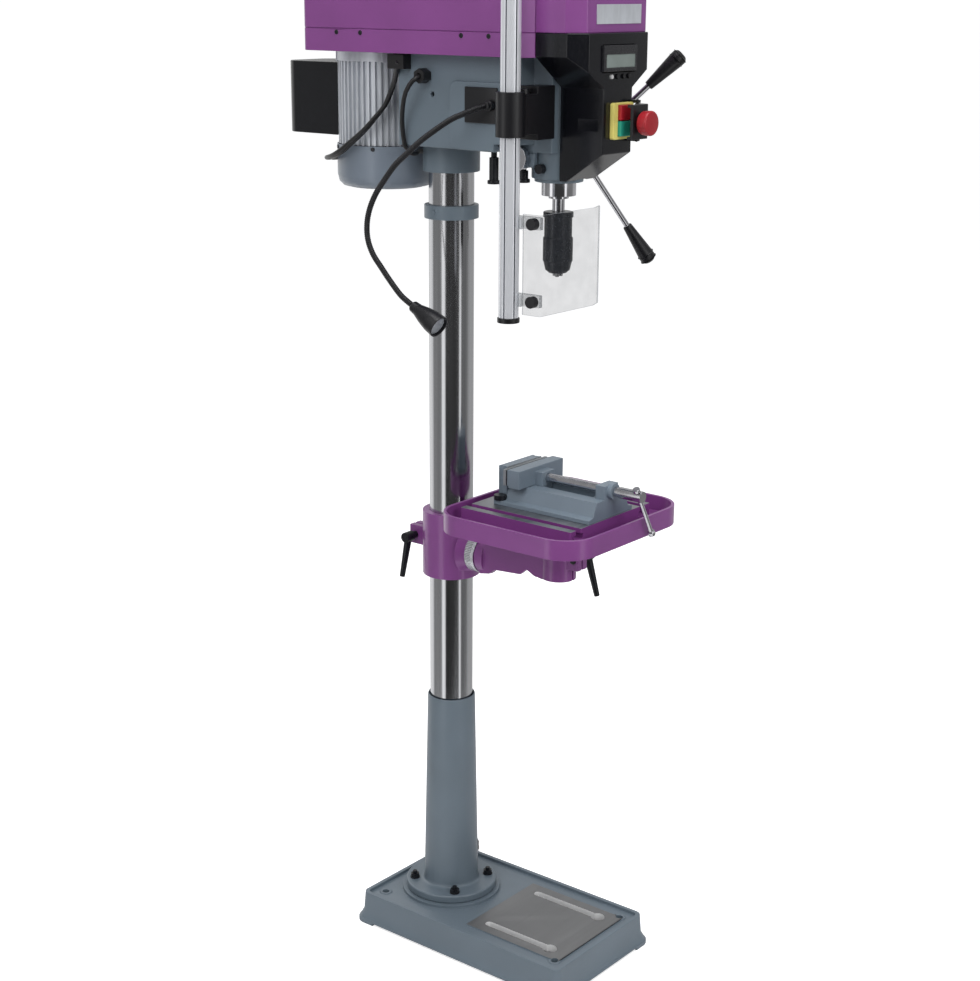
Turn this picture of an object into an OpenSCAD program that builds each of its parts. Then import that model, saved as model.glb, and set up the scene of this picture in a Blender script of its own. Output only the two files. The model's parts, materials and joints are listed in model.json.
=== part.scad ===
// Pillar drill on a floor base, with a lifting table, a machine vise and a chuck guard.
// Millimetres. The column axis is X = 0, Y = 0 and the floor is Z = 0. The operator stands at -Y.

/* [Base] */
// Width of the base at the floor
base_w = 295; // [285:1:330]
// Length of the base at the floor
base_l = 492; // [480:1:540]
// Distance from the column axis to the back edge of the base
base_back = 122; // [118:1:130]
// Height of the base rim
base_h = 60; // [54:1:72]
// How far the foot stands out past the rim
base_flare = 11.6; // [8:0.2:14]
// Height of the foot edge
base_lip_h = 9; // [6:0.5:14]
// Width of the rim
base_rim = 8; // [6:0.5:10]
// Depth of the recess inside the rim
base_recess = 6; // [4:0.5:8]
// Thickness of the deck and the walls of the casting
base_wall = 12; // [9:0.5:15]
// Radius of the holes for the floor bolts
floor_bolt_r = 6.5; // [5:0.5:8]
// Distance between the floor bolts across the base
floor_bolt_x = 204; // [190:1:212]
// Distance between the floor bolts along the base
floor_bolt_y = 408; // [396:1:416]
// Width of the machined face
panel_w = 206; // [190:1:216]
// Length of the machined face
panel_l = 214; // [200:1:224]
// Distance between the two slots of the machined face
base_slot_gap = 150; // [120:1:160]
// Width of the slots
base_slot_w = 14; // [10:1:18]
// Length of the slots
base_slot_l = 162; // [120:1:170]

/* [Column] */
// Diameter of the column
column_d = 80; // [78:0.5:82]
// Wall of the column tube
column_wall = 5; // [4:0.5:8]
// Height of the top of the conical foot
sleeve_top = 459; // [430:1:480]
// Radius of the foot's flange
flange_r = 87; // [84:1:95]
// Thickness of the foot's flange
flange_t = 15; // [12:1:20]
// Radius of the circle of the four flange bolts
flange_bolt_circle = 71; // [69:0.5:74]
// Radius of the flange bolts
flange_bolt_r = 5; // [4:0.5:6]
// Radius of the sleeve where it meets the flange
sleeve_r_low = 52; // [49:0.5:56]
// Radius of the sleeve at its top
sleeve_r_top = 44.6; // [44:0.2:47]

/* [Rack and bracket] */
// Length of the table rack
rack_l = 895; // [860:1:900]
// Module of the rack and its pinion
rack_m = 2; // [2:0.5:2]
// Teeth of the table pinion
pinion_teeth = 16; // [16:1:18]
// Height of the middle of the table bracket
bracket_z = 760; // [750:1:764]
// Height of the table bracket
bracket_h = 122; // [110:1:124]
// Outer radius of the bracket's collar
collar_r = 53; // [50:0.5:55]
// Radius of the crank arm
crank_r = 75; // [60:1:76]
// Length of the crank's handle
crank_grip_l = 42; // [30:1:44]

/* [Table] */
// Height of the tilt axis
tilt_z = 750; // [746:1:752]
// Distance from the column axis to the middle of the table
table_reach = 247.5; // [247:0.5:260]
// Width of the table
table_w = 343; // [320:1:344]
// Depth of the table
table_d = 308; // [290:1:309]
// Radius of the table's corners
table_corner = 60; // [59:1:70]
// Height of the table's rim top
table_z = 871; // [866:1:880]
// Height of the table's side
table_h = 35; // [30:1:40]
// Thickness of the table's rim
rim_t = 6; // [4:0.5:8]
// Radius of the round boss that carries the table
boss_r = 31; // [29:1:34]
// Radius of the table's stem
stem_r = 17; // [14:0.5:19]
// Distance between the table's two T slots
t_slot_gap = 190; // [180:1:194]

/* [Vise] */
// Width of the vise jaws
vise_w = 128; // [116:1:132]
// Length of the vise body
vise_l = 206; // [200:1:212]
// Distance from the column axis to the back of the vise
vise_back = 150; // [148:1:156]
// Height of the vise jaws above the table
vise_h = 67; // [64:1:72]
// Greatest jaw opening
vise_open = 100; // [60:1:104]
// Radius of the vise screw
vise_screw_r = 8; // [7:0.5:9]

/* [Head] */
// Distance from the column axis to the spindle axis
throat = 234; // [232:0.5:238]
// Height of the bottom of the head casting
head_z = 1436; // [1420:1:1450]
// Half the width of the head casting
head_half_w = 92; // [88:0.5:95]
// Height from the bottom of the head to the belt housing
head_h = 202; // [198:1:206]
// Half the width of the belt housing
pan_half_w = 125; // [122:0.5:128]
// Distance from the column axis to the back of the belt housing
pan_back = 235; // [232:1:245]
// Radius of the belt housing's rear corners
pan_corner = 12; // [8:1:30]
// Height of the belt housing's lower tray
pan_h = 38; // [36:1:42]
// Height of the belt housing's lid
lid_h = 99; // [94:1:110]
// Wall of the sheet metal housing
sheet = 2.5; // [1.5:0.5:3]

/* [Spindle] */
// Outer radius of the quill
quill_r = 29; // [28:0.5:30]
// Length of the quill
quill_l = 180; // [176:1:184]
// Travel of the quill
quill_stroke = 80; // [50:1:82]
// Teeth of the feed pinion
feed_teeth = 14; // [14:1:14]
// Radius of the spindle
spindle_r = 12; // [11:0.5:12.5]
// Outer radius of the chuck sleeve
chuck_r = 25.3; // [24.5:0.1:27]
// Length of the chuck
chuck_l = 111; // [108:1:116]
// Distance from the feed shaft to the middle of the grips
lever_r = 175; // [160:1:182]
// How far out the grips stand from the column axis
lever_x = 206; // [190:1:212]

/* [Motor] */
// Distance from the column axis to the motor axis
motor_y = 152; // [149:0.5:154]
// Radius of the motor over its ribs
motor_r = 85; // [80:0.5:85.5]
// Height of the ribbed part of the motor
motor_body_h = 144; // [130:1:146]
// Height of the motor's lower cover
cowl_h = 76; // [70:1:84]
// Number of cooling ribs
rib_count = 48; // [36:2:54]

/* [Guard] */
// Radius of the guard tube
guard_r = 16.5; // [15:0.5:17.5]
// Length of the guard tube
guard_l = 564; // [540:1:570]
// Thickness of the clear shield
shield_t = 3; // [2:0.5:4]
// Height of the clear shield
shield_h = 164; // [150:1:170]

/* [Cords] */
// Diameter of the mains lead and the motor cables
cord_d = 8; // [7:0.5:8]
// Diameter of the lamp's bent neck
neck_d = 10; // [9:0.5:12]
// Turns of the put away coil, in each of its two layers
coil_turns = 2; // [2:1:3]

/* [Hidden] */

$fn = 64;
run_gap = 0.05;
face_gap = 0.3;
hull_fn = 32;
pressure_angle = 20;
tooth_slack = 0.12;
purple = [0.46, 0.24, 0.47];
grey = [0.46, 0.50, 0.53];
steel = [0.78, 0.79, 0.80];
black = [0.06, 0.06, 0.07];
alloy = [0.80, 0.81, 0.82];

column_r = column_d / 2;
deck_z = head_z + head_h;
under_z = head_z + 48;
nose_z = head_z - 2;
column_top = head_z + 164;
spin_y = -throat;
seam_z = deck_z + pan_h;
lid_top = seam_z + lid_h;
joint_y = spin_y - 27;
front_y = spin_y - 116;
cover_half_w = pan_half_w - 19;
key_places = [-21, -5, 12, 27];
display_half = 46;
button_heights = [head_z + 91, head_z + 116.5];
button_x = 6;
button_half = 16;

base_mid_y = base_back - base_l / 2;
deck_base_z = base_h - base_recess;
flange_z = base_h;
flange_top = flange_z + flange_t;
lip_bore_r = column_r + 2.6;
lip_depth = 7;

rack_inner_r = column_r + 0.25;
rack_z0 = sleeve_top + face_gap;
rack_z1 = min(rack_z0 + rack_l, head_z - 25);
rack_x1 = column_r + 10;
rack_pitch_y = 7;
rack_back_y = -9;
rack_add = 0.85 * rack_m;
pinion_z = bracket_z - 18;
pinion_pitch_r = rack_m * pinion_teeth / 2;
pinion_y = rack_pitch_y + pinion_pitch_r;
shaft_r = 7;
tongue_r = rack_inner_r + 1.9;

feed_m = 2;
feed_add = 0.78 * feed_m;
feed_pitch_y = spin_y + quill_r - 1.6 - feed_add;
feed_pitch_r = feed_m * feed_teeth / 2;
feed_y = feed_pitch_y + feed_pitch_r;
feed_z = head_z + 38;
feed_shaft_r = 10;
pad_x = head_half_w + 5;
quill_z = nose_z - 23;
chuck_top = quill_z - 27;
chuck_z = chuck_top - chuck_l;

table_y = -table_reach;
table_low = table_z - table_h;
work_z = table_z + 1;
arm_face_y = -80;
guard_x = -(pan_half_w + 25);
guard_y = spin_y - 13;
guard_z = head_z - 210;
shield_z = guard_z + 5;

pulley_z = seam_z + 9;
step_h = 18;
idler_y = (spin_y + motor_y) / 2;
motor_steps = [50, 42, 34, 26];
idler_steps = [34, 42, 50, 58];
spindle_steps = [58, 50, 42, 34];
motor_top = deck_z;
body_top = motor_top - 18;
body_low = body_top - motor_body_h;

// Round corners
module rounded_rect(w, l, r) {
    square([w - 2 * r, l], center = true);
    square([w, l - 2 * r], center = true);
    for (x = [-1, 1], y = [-1, 1])
        translate([x * (w / 2 - r), y * (l / 2 - r)])
            circle(r);
}

// A slab with round corners, drawn at a height
module slab(w, l, r, z, h) {
    translate([0, 0, z])
        linear_extrude(h)
            rounded_rect(w, l, r);
}

// Turns a drawing in Y and Z into a plate along X
module along_x(x0, x1) {
    translate([x0, 0, 0])
        rotate([90, 0, 90])
            linear_extrude(x1 - x0)
                children();
}

// A pin along X
module pin_x(x0, x1, y, z, r) {
    translate([x0, y, z])
        rotate([0, 90, 0])
            cylinder(r = r, h = x1 - x0);
}

// A pin along Y
module pin_y(y0, y1, x, z, r) {
    translate([x, y1, z])
        rotate([90, 0, 0])
            cylinder(r = r, h = y1 - y0);
}

// A box from its two corners
module block(a, b) {
    translate(a)
        cube(b - a);
}

// Gear teeth as involutes, and the straight teeth of a rack
function inv_deg(a) = tan(a) * 180 / PI - a;
function polar(r, a) = [r * cos(a), r * sin(a)];
function half_tooth(teeth, r, base_r, slack) =
    90 / teeth - slack + inv_deg(pressure_angle) - inv_deg(acos(min(1, base_r / r)));
function gear_points(m, teeth, add, slack) =
    let (rp = m * teeth / 2, rb = rp * cos(pressure_angle), ra = rp + add, rf = rp - 1.2 * m,
        radii = [rf, rb, rb + (ra - rb) * 0.3, rb + (ra - rb) * 0.65, ra],
        slack_deg = slack / rp * 180 / PI)
    [for (k = [0 : teeth - 1]) each concat(
        [for (r = radii) polar(r, 360 * k / teeth - half_tooth(teeth, max(r, rb), rb, slack_deg))],
        [for (i = [4 : -1 : 0])
            polar(radii[i], 360 * k / teeth + half_tooth(teeth, max(radii[i], rb), rb, slack_deg))])];
function rack_points(m, z_mid, z0, z1, add) =
    let (p = PI * m, first = ceil((z0 + 0.4 * p - z_mid) / p - 0.5), last = floor((z1 - 0.4 * p - z_mid) / p - 0.5))
    [for (k = [first : last]) let (c = z_mid + p * (k + 0.5)) each [
        [-1.2 * m, c - p / 4 - 1.2 * m * tan(pressure_angle)],
        [add, c - p / 4 + add * tan(pressure_angle)],
        [add, c + p / 4 - add * tan(pressure_angle)],
        [-1.2 * m, c + p / 4 + 1.2 * m * tan(pressure_angle)]]];

// A round cord swept along smooth points
function smooth_at(p, i, t) =
    let (a = p[max(i - 1, 0)], b = p[i], c = p[i + 1], d = p[min(i + 2, len(p) - 1)])
    0.5 * (2 * b + (c - a) * t + (2 * a - 5 * b + 4 * c - d) * t * t + (3 * b - a - 3 * c + d) * t * t * t);
function smooth_path(p, step) = concat(
    [for (i = [0 : len(p) - 2]) let (n = max(1, round(norm(p[i + 1] - p[i]) / step)))
        for (k = [0 : n - 1]) smooth_at(p, i, k / n)], [p[len(p) - 1]]);
function unit(v) = v / norm(v);
function heading(p, i) = unit(p[min(i + 1, len(p) - 1)] - p[max(i - 1, 0)]);
function side_of(t, m) = unit(m - (m * t) * t);
function sides(p, i, m) = i == len(p) ? [] : let (s = side_of(heading(p, i), m)) concat([s], sides(p, i + 1, s));
function path_length(p, i = 0) = i >= len(p) - 1 ? 0 : norm(p[i + 1] - p[i]) + path_length(p, i + 1);
module cord(p, r, count, first_side) {
    across = sides(p, 0, first_side);
    points = [for (i = [0 : len(p) - 1]) let (t = heading(p, i), u = across[i], w = cross(t, u))
        for (k = [0 : count - 1]) p[i] + r * (cos(360 * k / count) * u + sin(360 * k / count) * w)];
    walls = [for (i = [0 : len(p) - 2], k = [0 : count - 1])
        let (a = i * count + k, b = i * count + (k + 1) % count) each [[a, b + count, b], [a, a + count, b + count]]];
    last = (len(p) - 1) * count;
    ends = [for (k = [1 : count - 2]) each [[0, k, k + 1], [last, last + k + 1, last + k]]];
    polyhedron(points, concat(walls, ends), convexity = 8);
}

module base() {
    rim_w = base_w - 2 * base_flare;
    rim_l = base_l - 2 * base_flare;
    pad = 46;
    boss_r_low = 11;
    color(grey)
    difference() {
        union() {
            difference() {
                translate([0, base_mid_y, 0]) {
                    slab(base_w, base_l, 22, 0, base_lip_h);
                    hull() {
                        slab(base_w - 3, base_l - 3, 21, base_lip_h - 1, 1, $fn = hull_fn);
                        slab(base_w - 1.5 * base_flare, base_l - 1.5 * base_flare, 17, base_lip_h + 14, 1, $fn = hull_fn);
                    }
                    hull() {
                        slab(base_w - 1.5 * base_flare, base_l - 1.5 * base_flare, 17, base_lip_h + 14, 1, $fn = hull_fn);
                        slab(rim_w, rim_l, 14, base_h - 1, 1, $fn = hull_fn);
                    }
                }
                translate([0, base_mid_y, 0]) {
                    slab(rim_w - 2 * base_rim, rim_l - 2 * base_rim, 8, deck_base_z, base_recess + 1);
                    slab(rim_w - 2 * base_wall, rim_l - 2 * base_wall, 8, -1, deck_base_z - base_wall + 1);
                    block([-base_w, -(base_l / 2 - pad), -1], [base_w, base_l / 2 - pad, 5]);
                    block([-(base_w / 2 - pad), -base_l, -1], [base_w / 2 - pad, base_l, 5]);
                }
            }
            cylinder(r = flange_r - 15, h = deck_base_z);
            translate([0, 0, deck_base_z - 2])
                cylinder(r = flange_r + 8, h = base_recess + 2);
            translate([0, base_mid_y, 0])
                for (x = [-1, 1], y = [-1, 1])
                    translate([x * floor_bolt_x / 2, y * floor_bolt_y / 2, 0]) {
                        cylinder(r = floor_bolt_r + boss_r_low, h = deck_base_z);
                        cylinder(r = floor_bolt_r + 5, h = deck_base_z + 2);
                    }
            translate([0, base_mid_y - base_l / 2 + base_flare + base_rim + 14 + panel_l / 2, 0])
                slab(panel_w, panel_l, 2, deck_base_z - 1, 4);
        }
        translate([0, base_mid_y, 0])
            for (x = [-1, 1], y = [-1, 1])
                translate([x * floor_bolt_x / 2, y * floor_bolt_y / 2, -1])
                    cylinder(r = floor_bolt_r, h = base_h);
        for (a = [45 : 90 : 315])
            rotate(a)
                translate([flange_bolt_circle, 0, flange_z - 26])
                    cylinder(r = flange_bolt_r + run_gap, h = 30);
        translate([0, base_mid_y - base_l / 2 + base_flare + base_rim + 14 + panel_l / 2, 0])
            for (x = [-1, 1])
                translate([x * base_slot_gap / 2, 0, -1]) {
                    slab(base_slot_w, base_slot_l, base_slot_w / 2 - 0.1, 0, base_h + 2);
                    translate([0, -base_slot_l / 2 + base_slot_w, 0])
                        cylinder(r = base_slot_w * 0.9, h = base_h + 2);
                }
    }
}

module column_foot() {
    bore = column_r + run_gap;
    color(grey)
    difference() {
        rotate_extrude()
            polygon([[bore, flange_z], [flange_r - 2, flange_z], [flange_r, flange_z + 2], [flange_r, flange_top - 2],
                [flange_r - 2, flange_top], [sleeve_r_low + 8, flange_top], [sleeve_r_low + 2.4, flange_top + 2.4],
                [sleeve_r_low, flange_top + 8], [sleeve_r_top, sleeve_top - 2], [sleeve_r_top - 1, sleeve_top],
                [lip_bore_r, sleeve_top], [lip_bore_r, sleeve_top - lip_depth], [bore, sleeve_top - lip_depth]]);
        for (a = [45 : 90 : 315])
            rotate(a)
                translate([flange_bolt_circle, 0, flange_z - 1])
                    cylinder(r = flange_bolt_r + 0.5, h = flange_t + 2);
    }
}

module foot_bolts() {
    color(black)
    for (a = [45 : 90 : 315])
        rotate(a)
            translate([flange_bolt_circle, 0, 0]) {
                translate([0, 0, flange_z - 22])
                    cylinder(r = flange_bolt_r, h = flange_t + 24);
                translate([0, 0, flange_top])
                    cylinder(r = flange_bolt_r + 4.5, h = 2);
                translate([0, 0, flange_top + 2])
                    rotate(30)
                        cylinder(r = flange_bolt_r + 3.8, h = 7, $fn = 6);
                translate([0, 0, flange_top + 9])
                    cylinder(r = flange_bolt_r - 0.6, h = 5);
            }
}

module column() {
    color(steel)
    translate([0, 0, flange_z])
        difference() {
            cylinder(r = column_r, h = column_top - flange_z);
            translate([0, 0, -1])
                cylinder(r = column_r - column_wall, h = column_top - flange_z + 2);
        }
}

module rack() {
    teeth = [for (p = rack_points(rack_m, pinion_z, rack_z0 + 2, rack_z1 - 2, rack_add)) [rack_pitch_y + p[0], p[1]]];
    root_y = rack_pitch_y - 1.2 * rack_m;
    color(steel)
    difference() {
        union() {
            along_x(column_r - 3, rack_x1)
                polygon(concat([[root_y, rack_z0]], teeth, [[root_y, rack_z1], [rack_back_y, rack_z1], [rack_back_y, rack_z0]]));
            intersection() {
                translate([0, 0, rack_z0 - lip_depth + 1])
                    cylinder(r = tongue_r, h = rack_l + 2 * lip_depth - 2);
                block([column_r - 6, rack_back_y, rack_z0 - lip_depth], [column_r + 6, root_y, rack_z1 + lip_depth]);
            }
        }
        translate([0, 0, rack_z0 - 2 * lip_depth])
            cylinder(r = rack_inner_r, h = rack_l + 4 * lip_depth);
    }
}

module rack_ring() {
    ring_z = rack_z1 + face_gap;
    color(grey)
    difference() {
        translate([0, 0, ring_z])
            cylinder(r = column_r + 8, h = 24);
        translate([0, 0, ring_z - 1])
            cylinder(r = column_r + run_gap, h = 26);
        translate([0, 0, ring_z - 1])
            cylinder(r = lip_bore_r, h = lip_depth + 1);
        pin_x(-column_r - 12, -column_r + 2, 0, ring_z + 13, 3 + run_gap);
    }
    color(black)
    pin_x(-column_r - 9, -column_r - 0.1, 0, ring_z + 13, 3);
}

module table_bracket() {
    low = bracket_z - bracket_h / 2;
    box_y = pinion_y + pinion_pitch_r + rack_add + 8;
    color(purple)
    difference() {
        union() {
            translate([0, 0, low])
                cylinder(r = collar_r, h = bracket_h);
            block([column_r - 10, rack_back_y - 8, low + 4], [rack_x1 + 14, box_y, low + bracket_h - 4]);
            block([-15, column_r, tilt_z - 8], [15, collar_r + 36, tilt_z + 28]);
            translate([0, -column_r + 12, tilt_z])
                rotate([90, 0, 0])
                    cylinder(r = 33, h = -arm_face_y - column_r + 12 - face_gap);
            translate([0, -collar_r + 10, tilt_z])
                rotate([90, 0, 0])
                    cylinder(r1 = 44, r2 = 33, h = 14);
        }
        translate([0, 0, low - 1])
            cylinder(r = column_r + run_gap, h = bracket_h + 2);
        block([column_r - 8, rack_back_y - face_gap, low - 1],
            [rack_x1 + face_gap, rack_pitch_y + rack_add + 0.6, low + bracket_h + 1]);
        pin_x(column_r + 1, rack_x1 + 1, pinion_y, pinion_z, pinion_pitch_r + rack_add + 0.8);
        pin_x(rack_x1, rack_x1 + 20, pinion_y, pinion_z, shaft_r + run_gap);
        block([-1.5, column_r - 2, low - 1], [1.5, collar_r + 44, low + bracket_h + 1]);
        pin_x(-30, 30, collar_r + 22, tilt_z + 10, 6 + run_gap);
        pin_y(-130, -column_r - 8, 0, tilt_z, 8 + run_gap);
    }
    color(alloy)
    difference() {
        pin_y(-79.5, -59, 0, tilt_z, 35.5);
        pin_y(-80, -58, 0, tilt_z, 33.1);
    }
}

module tilt_bolt() {
    color(black) {
        pin_y(-122, -column_r - 9, 0, tilt_z, 8);
        translate([0, -98.3, tilt_z])
            rotate([90, 0, 0])
                cylinder(r = 16, h = 3);
        translate([0, -101.3, tilt_z])
            rotate([90, 0, 0])
                cylinder(r = 14, h = 13, $fn = 6);
    }
}

// A clamping lever: its bolt runs along X and its arm hangs down
module lock_lever(x0, x1, hub_x, y, z, lean_x, lean_y) {
    pin_x(x0, x1, y, z, 6);
    pin_x(hub_x, hub_x + 22, y, z, 9.5);
    translate([hub_x + 11, y, z])
        rotate([lean_y, lean_x, 0])
            translate([0, 0, -76])
                cylinder(r1 = 5, r2 = 7, h = 72);
}

module bracket_lock_lever() {
    color(black)
        lock_lever(-30, 16.3, -46, collar_r + 22, tilt_z + 10, 14, 0);
}

module crank() {
    arm_x = rack_x1 + 40;
    color(steel) {
        translate([column_r + 1.4, pinion_y, pinion_z])
            rotate([90, 0, 90])
                linear_extrude(rack_x1 - column_r - 1.8)
                    polygon(gear_points(rack_m, pinion_teeth, rack_add, tooth_slack));
        pin_x(rack_x1 - 1, arm_x + 2, pinion_y, pinion_z, shaft_r);
    }
    color(grey) {
        pin_x(rack_x1 + 14.3, arm_x + 12, pinion_y, pinion_z, shaft_r + 6);
        block([arm_x, pinion_y, pinion_z - 7], [arm_x + 10, pinion_y + crank_r, pinion_z + 7]);
        pin_x(arm_x, arm_x + 10, pinion_y + crank_r, pinion_z, 8);
        pin_x(arm_x, arm_x + 14 + crank_grip_l, pinion_y + crank_r, pinion_z, 4);
    }
}

module crank_knob() {
    x0 = rack_x1 + 50 + face_gap;
    color(black)
    translate([x0, pinion_y + crank_r, pinion_z])
        rotate([0, 90, 0])
            rotate_extrude()
                polygon([[4 + run_gap, 0], [8, 0], [11, crank_grip_l * 0.5], [9.5, crank_grip_l * 0.9],
                    [7, crank_grip_l], [4 + run_gap, crank_grip_l]]);
}

module table_arm() {
    half = 27;
    color(purple)
    difference() {
        union() {
            translate([0, arm_face_y, tilt_z])
                rotate([90, 0, 0])
                    cylinder(r = 34, h = 18);
            along_x(-half, half)
                polygon([[arm_face_y - 8, tilt_z - 30], [arm_face_y - 30, tilt_z - 26], [arm_face_y - 44, tilt_z - 16],
                    [table_y + 66, tilt_z - 12], [table_y + 52, tilt_z], [table_y + 34, tilt_z - 9],
                    [table_y, tilt_z - 9], [table_y, table_low - 6], [arm_face_y - 40, table_low - 6],
                    [arm_face_y - 8, tilt_z + 30]]);
            translate([0, table_y, tilt_z - 10])
                cylinder(r = boss_r, h = table_low - tilt_z + 10 - face_gap);
            block([-14, table_y - boss_r - 20, tilt_z + 14], [14, table_y - boss_r + 8, tilt_z + 50]);
        }
        block([-half + 9, table_y + boss_r + 6, tilt_z - 40], [half - 9, arm_face_y - 18, table_low - 16]);
        pin_y(arm_face_y - 30, arm_face_y + 1, 0, tilt_z, 8 + run_gap);
        translate([0, table_y, tilt_z - 30])
            cylinder(r = stem_r + run_gap, h = 140);
        block([-1.5, table_y - boss_r - 40, tilt_z - 30], [1.5, table_y - stem_r + 2, table_low + 2]);
        pin_x(-30, 30, table_y - boss_r - 9, tilt_z + 32, 6 + run_gap);
    }
}

module table() {
    plate_w = t_slot_gap + 46;
    plate_d = 238;
    floor_t = 8;
    color(purple)
    difference() {
        union() {
            difference() {
                translate([0, table_y, 0])
                    slab(table_w, table_d, table_corner, table_low, table_h);
                translate([0, table_y, 0])
                    slab(table_w - 2 * rim_t, table_d - 2 * rim_t, table_corner - rim_t, table_low + floor_t, table_h);
            }
            translate([0, table_y + 9, 0])
                slab(plate_w, plate_d, 3, table_low + 1, work_z - table_low - 1);
            translate([0, table_y, tilt_z - 4])
                cylinder(r = stem_r, h = table_low - tilt_z + 5);
        }
        for (x = [-1, 1])
            translate([x * t_slot_gap / 2, 0, 0]) {
                block([-7, table_y - 130, work_z - 16], [7, table_y + 146, work_z + 1]);
                block([-13, table_y - 130, work_z - 18], [13, table_y + 146, work_z - 9]);
            }
        vise_holes(4 + run_gap, work_z - 13, work_z + 1);
    }
}

module table_lock_lever() {
    color(black)
    mirror([1, 0, 0])
        lock_lever(-32, 15.3, -42, table_y - boss_r - 9, tilt_z + 32, 4, -14);
}

vise_y0 = -vise_back;
vise_y1 = vise_y0 - vise_l;
vise_half = vise_w / 2;
rail_z = work_z + 34;
screw_z = work_z + 47;
jaw_y = vise_y0 - 26;
bar_y = vise_y1 - 56;

// The places of the two vise bolts
module vise_holes(r, z0, z1) {
    for (x = [-1, 1])
        translate([x * (vise_half - 7), vise_y0 - 9, z0])
            cylinder(r = r, h = z1 - z0);
}

module vise_body() {
    color(grey)
    difference() {
        union() {
            translate([0, vise_y0, 0])
                rotate([90, 0, 0])
                    linear_extrude(vise_l)
                        polygon([[-vise_half, work_z], [vise_half, work_z], [vise_half, work_z + 7],
                            [vise_half - 12, work_z + 10], [vise_half - 17, rail_z - 12], [vise_half - 22, rail_z],
                            [22 - vise_half, rail_z], [17 - vise_half, rail_z - 12], [12 - vise_half, work_z + 10],
                            [-vise_half, work_z + 7]]);
            block([-vise_half, vise_y0 - 18, work_z], [vise_half, vise_y0, work_z + vise_h]);
            block([-20, vise_y1, work_z + 8], [20, vise_y1 + 19, work_z + 58]);
            pin_y(vise_y1 - 8, vise_y1 + 2, 0, screw_z, 14);
        }
        block([-15, jaw_y - 52 - vise_open, work_z + 12], [15, vise_y0 - 18, rail_z + 1]);
        pin_y(vise_y1 - 20, vise_y1 + 40, 0, screw_z, vise_screw_r + run_gap);
        vise_holes(11.5, work_z + 8, work_z + vise_h + 1);
        vise_holes(4 + run_gap, work_z - 1, work_z + 20);
    }
    color(steel)
    block([4 - vise_half, vise_y0 - 24, rail_z + 2], [vise_half - 4, vise_y0 - 18, work_z + vise_h - 2]);
}

module vise_bolts() {
    color(black) {
        vise_holes(4, work_z - 12, work_z + 9);
        vise_holes(11, work_z + 8, work_z + 17);
    }
}

module vise_jaw() {
    low = rail_z + 0.1;
    color(steel)
    block([4 - vise_half, jaw_y - 6, rail_z + 2], [vise_half - 4, jaw_y, work_z + vise_h - 2]);
    color(grey)
    difference() {
        union() {
            block([-vise_half, jaw_y - 30, low], [vise_half, jaw_y - 6, work_z + vise_h]);
            block([-18, jaw_y - 46, low], [18, jaw_y - 28, work_z + vise_h - 8]);
            block([-14.8, jaw_y - 44, work_z + 14], [14.8, jaw_y - 8, low + 1]);
        }
        pin_y(jaw_y - 60, jaw_y - 20, 0, screw_z, vise_screw_r + run_gap);
    }
}

module vise_screw() {
    color(steel)
    difference() {
        union() {
            pin_y(bar_y, jaw_y - 21, 0, screw_z, vise_screw_r);
            pin_y(bar_y - 9, bar_y + 38, 0, screw_z, vise_screw_r + 2);
        }
        translate([0, bar_y, screw_z])
            rotate([0, -30, 0])
                translate([0, 0, -30])
                    cylinder(r = 4 + run_gap, h = 60);
    }
}

module vise_bar() {
    color(steel)
    translate([0, bar_y, screw_z])
        rotate([0, -30, 0])
            translate([0, 0, -90]) {
                cylinder(r = 4, h = 104);
                cylinder(r = 6.5, h = 8);
                translate([0, 0, 101])
                    cylinder(r = 6.5, h = 6);
            }
}

// Outline of the head casting, with a margin taken off inside
module head_plan(d) {
    w = head_half_w - d;
    n = head_half_w - 37 - d;
    polygon([[-w, spin_y + 22 + d], [-w, 40 - d], [-w + 17, 55 - d], [w - 17, 55 - d], [w, 40 - d],
        [w, spin_y + 22 + d], [n, spin_y + 12 + d], [n, joint_y + 2 + d], [-n, joint_y + 2 + d],
        [-n, spin_y + 12 + d]]);
}

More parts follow.
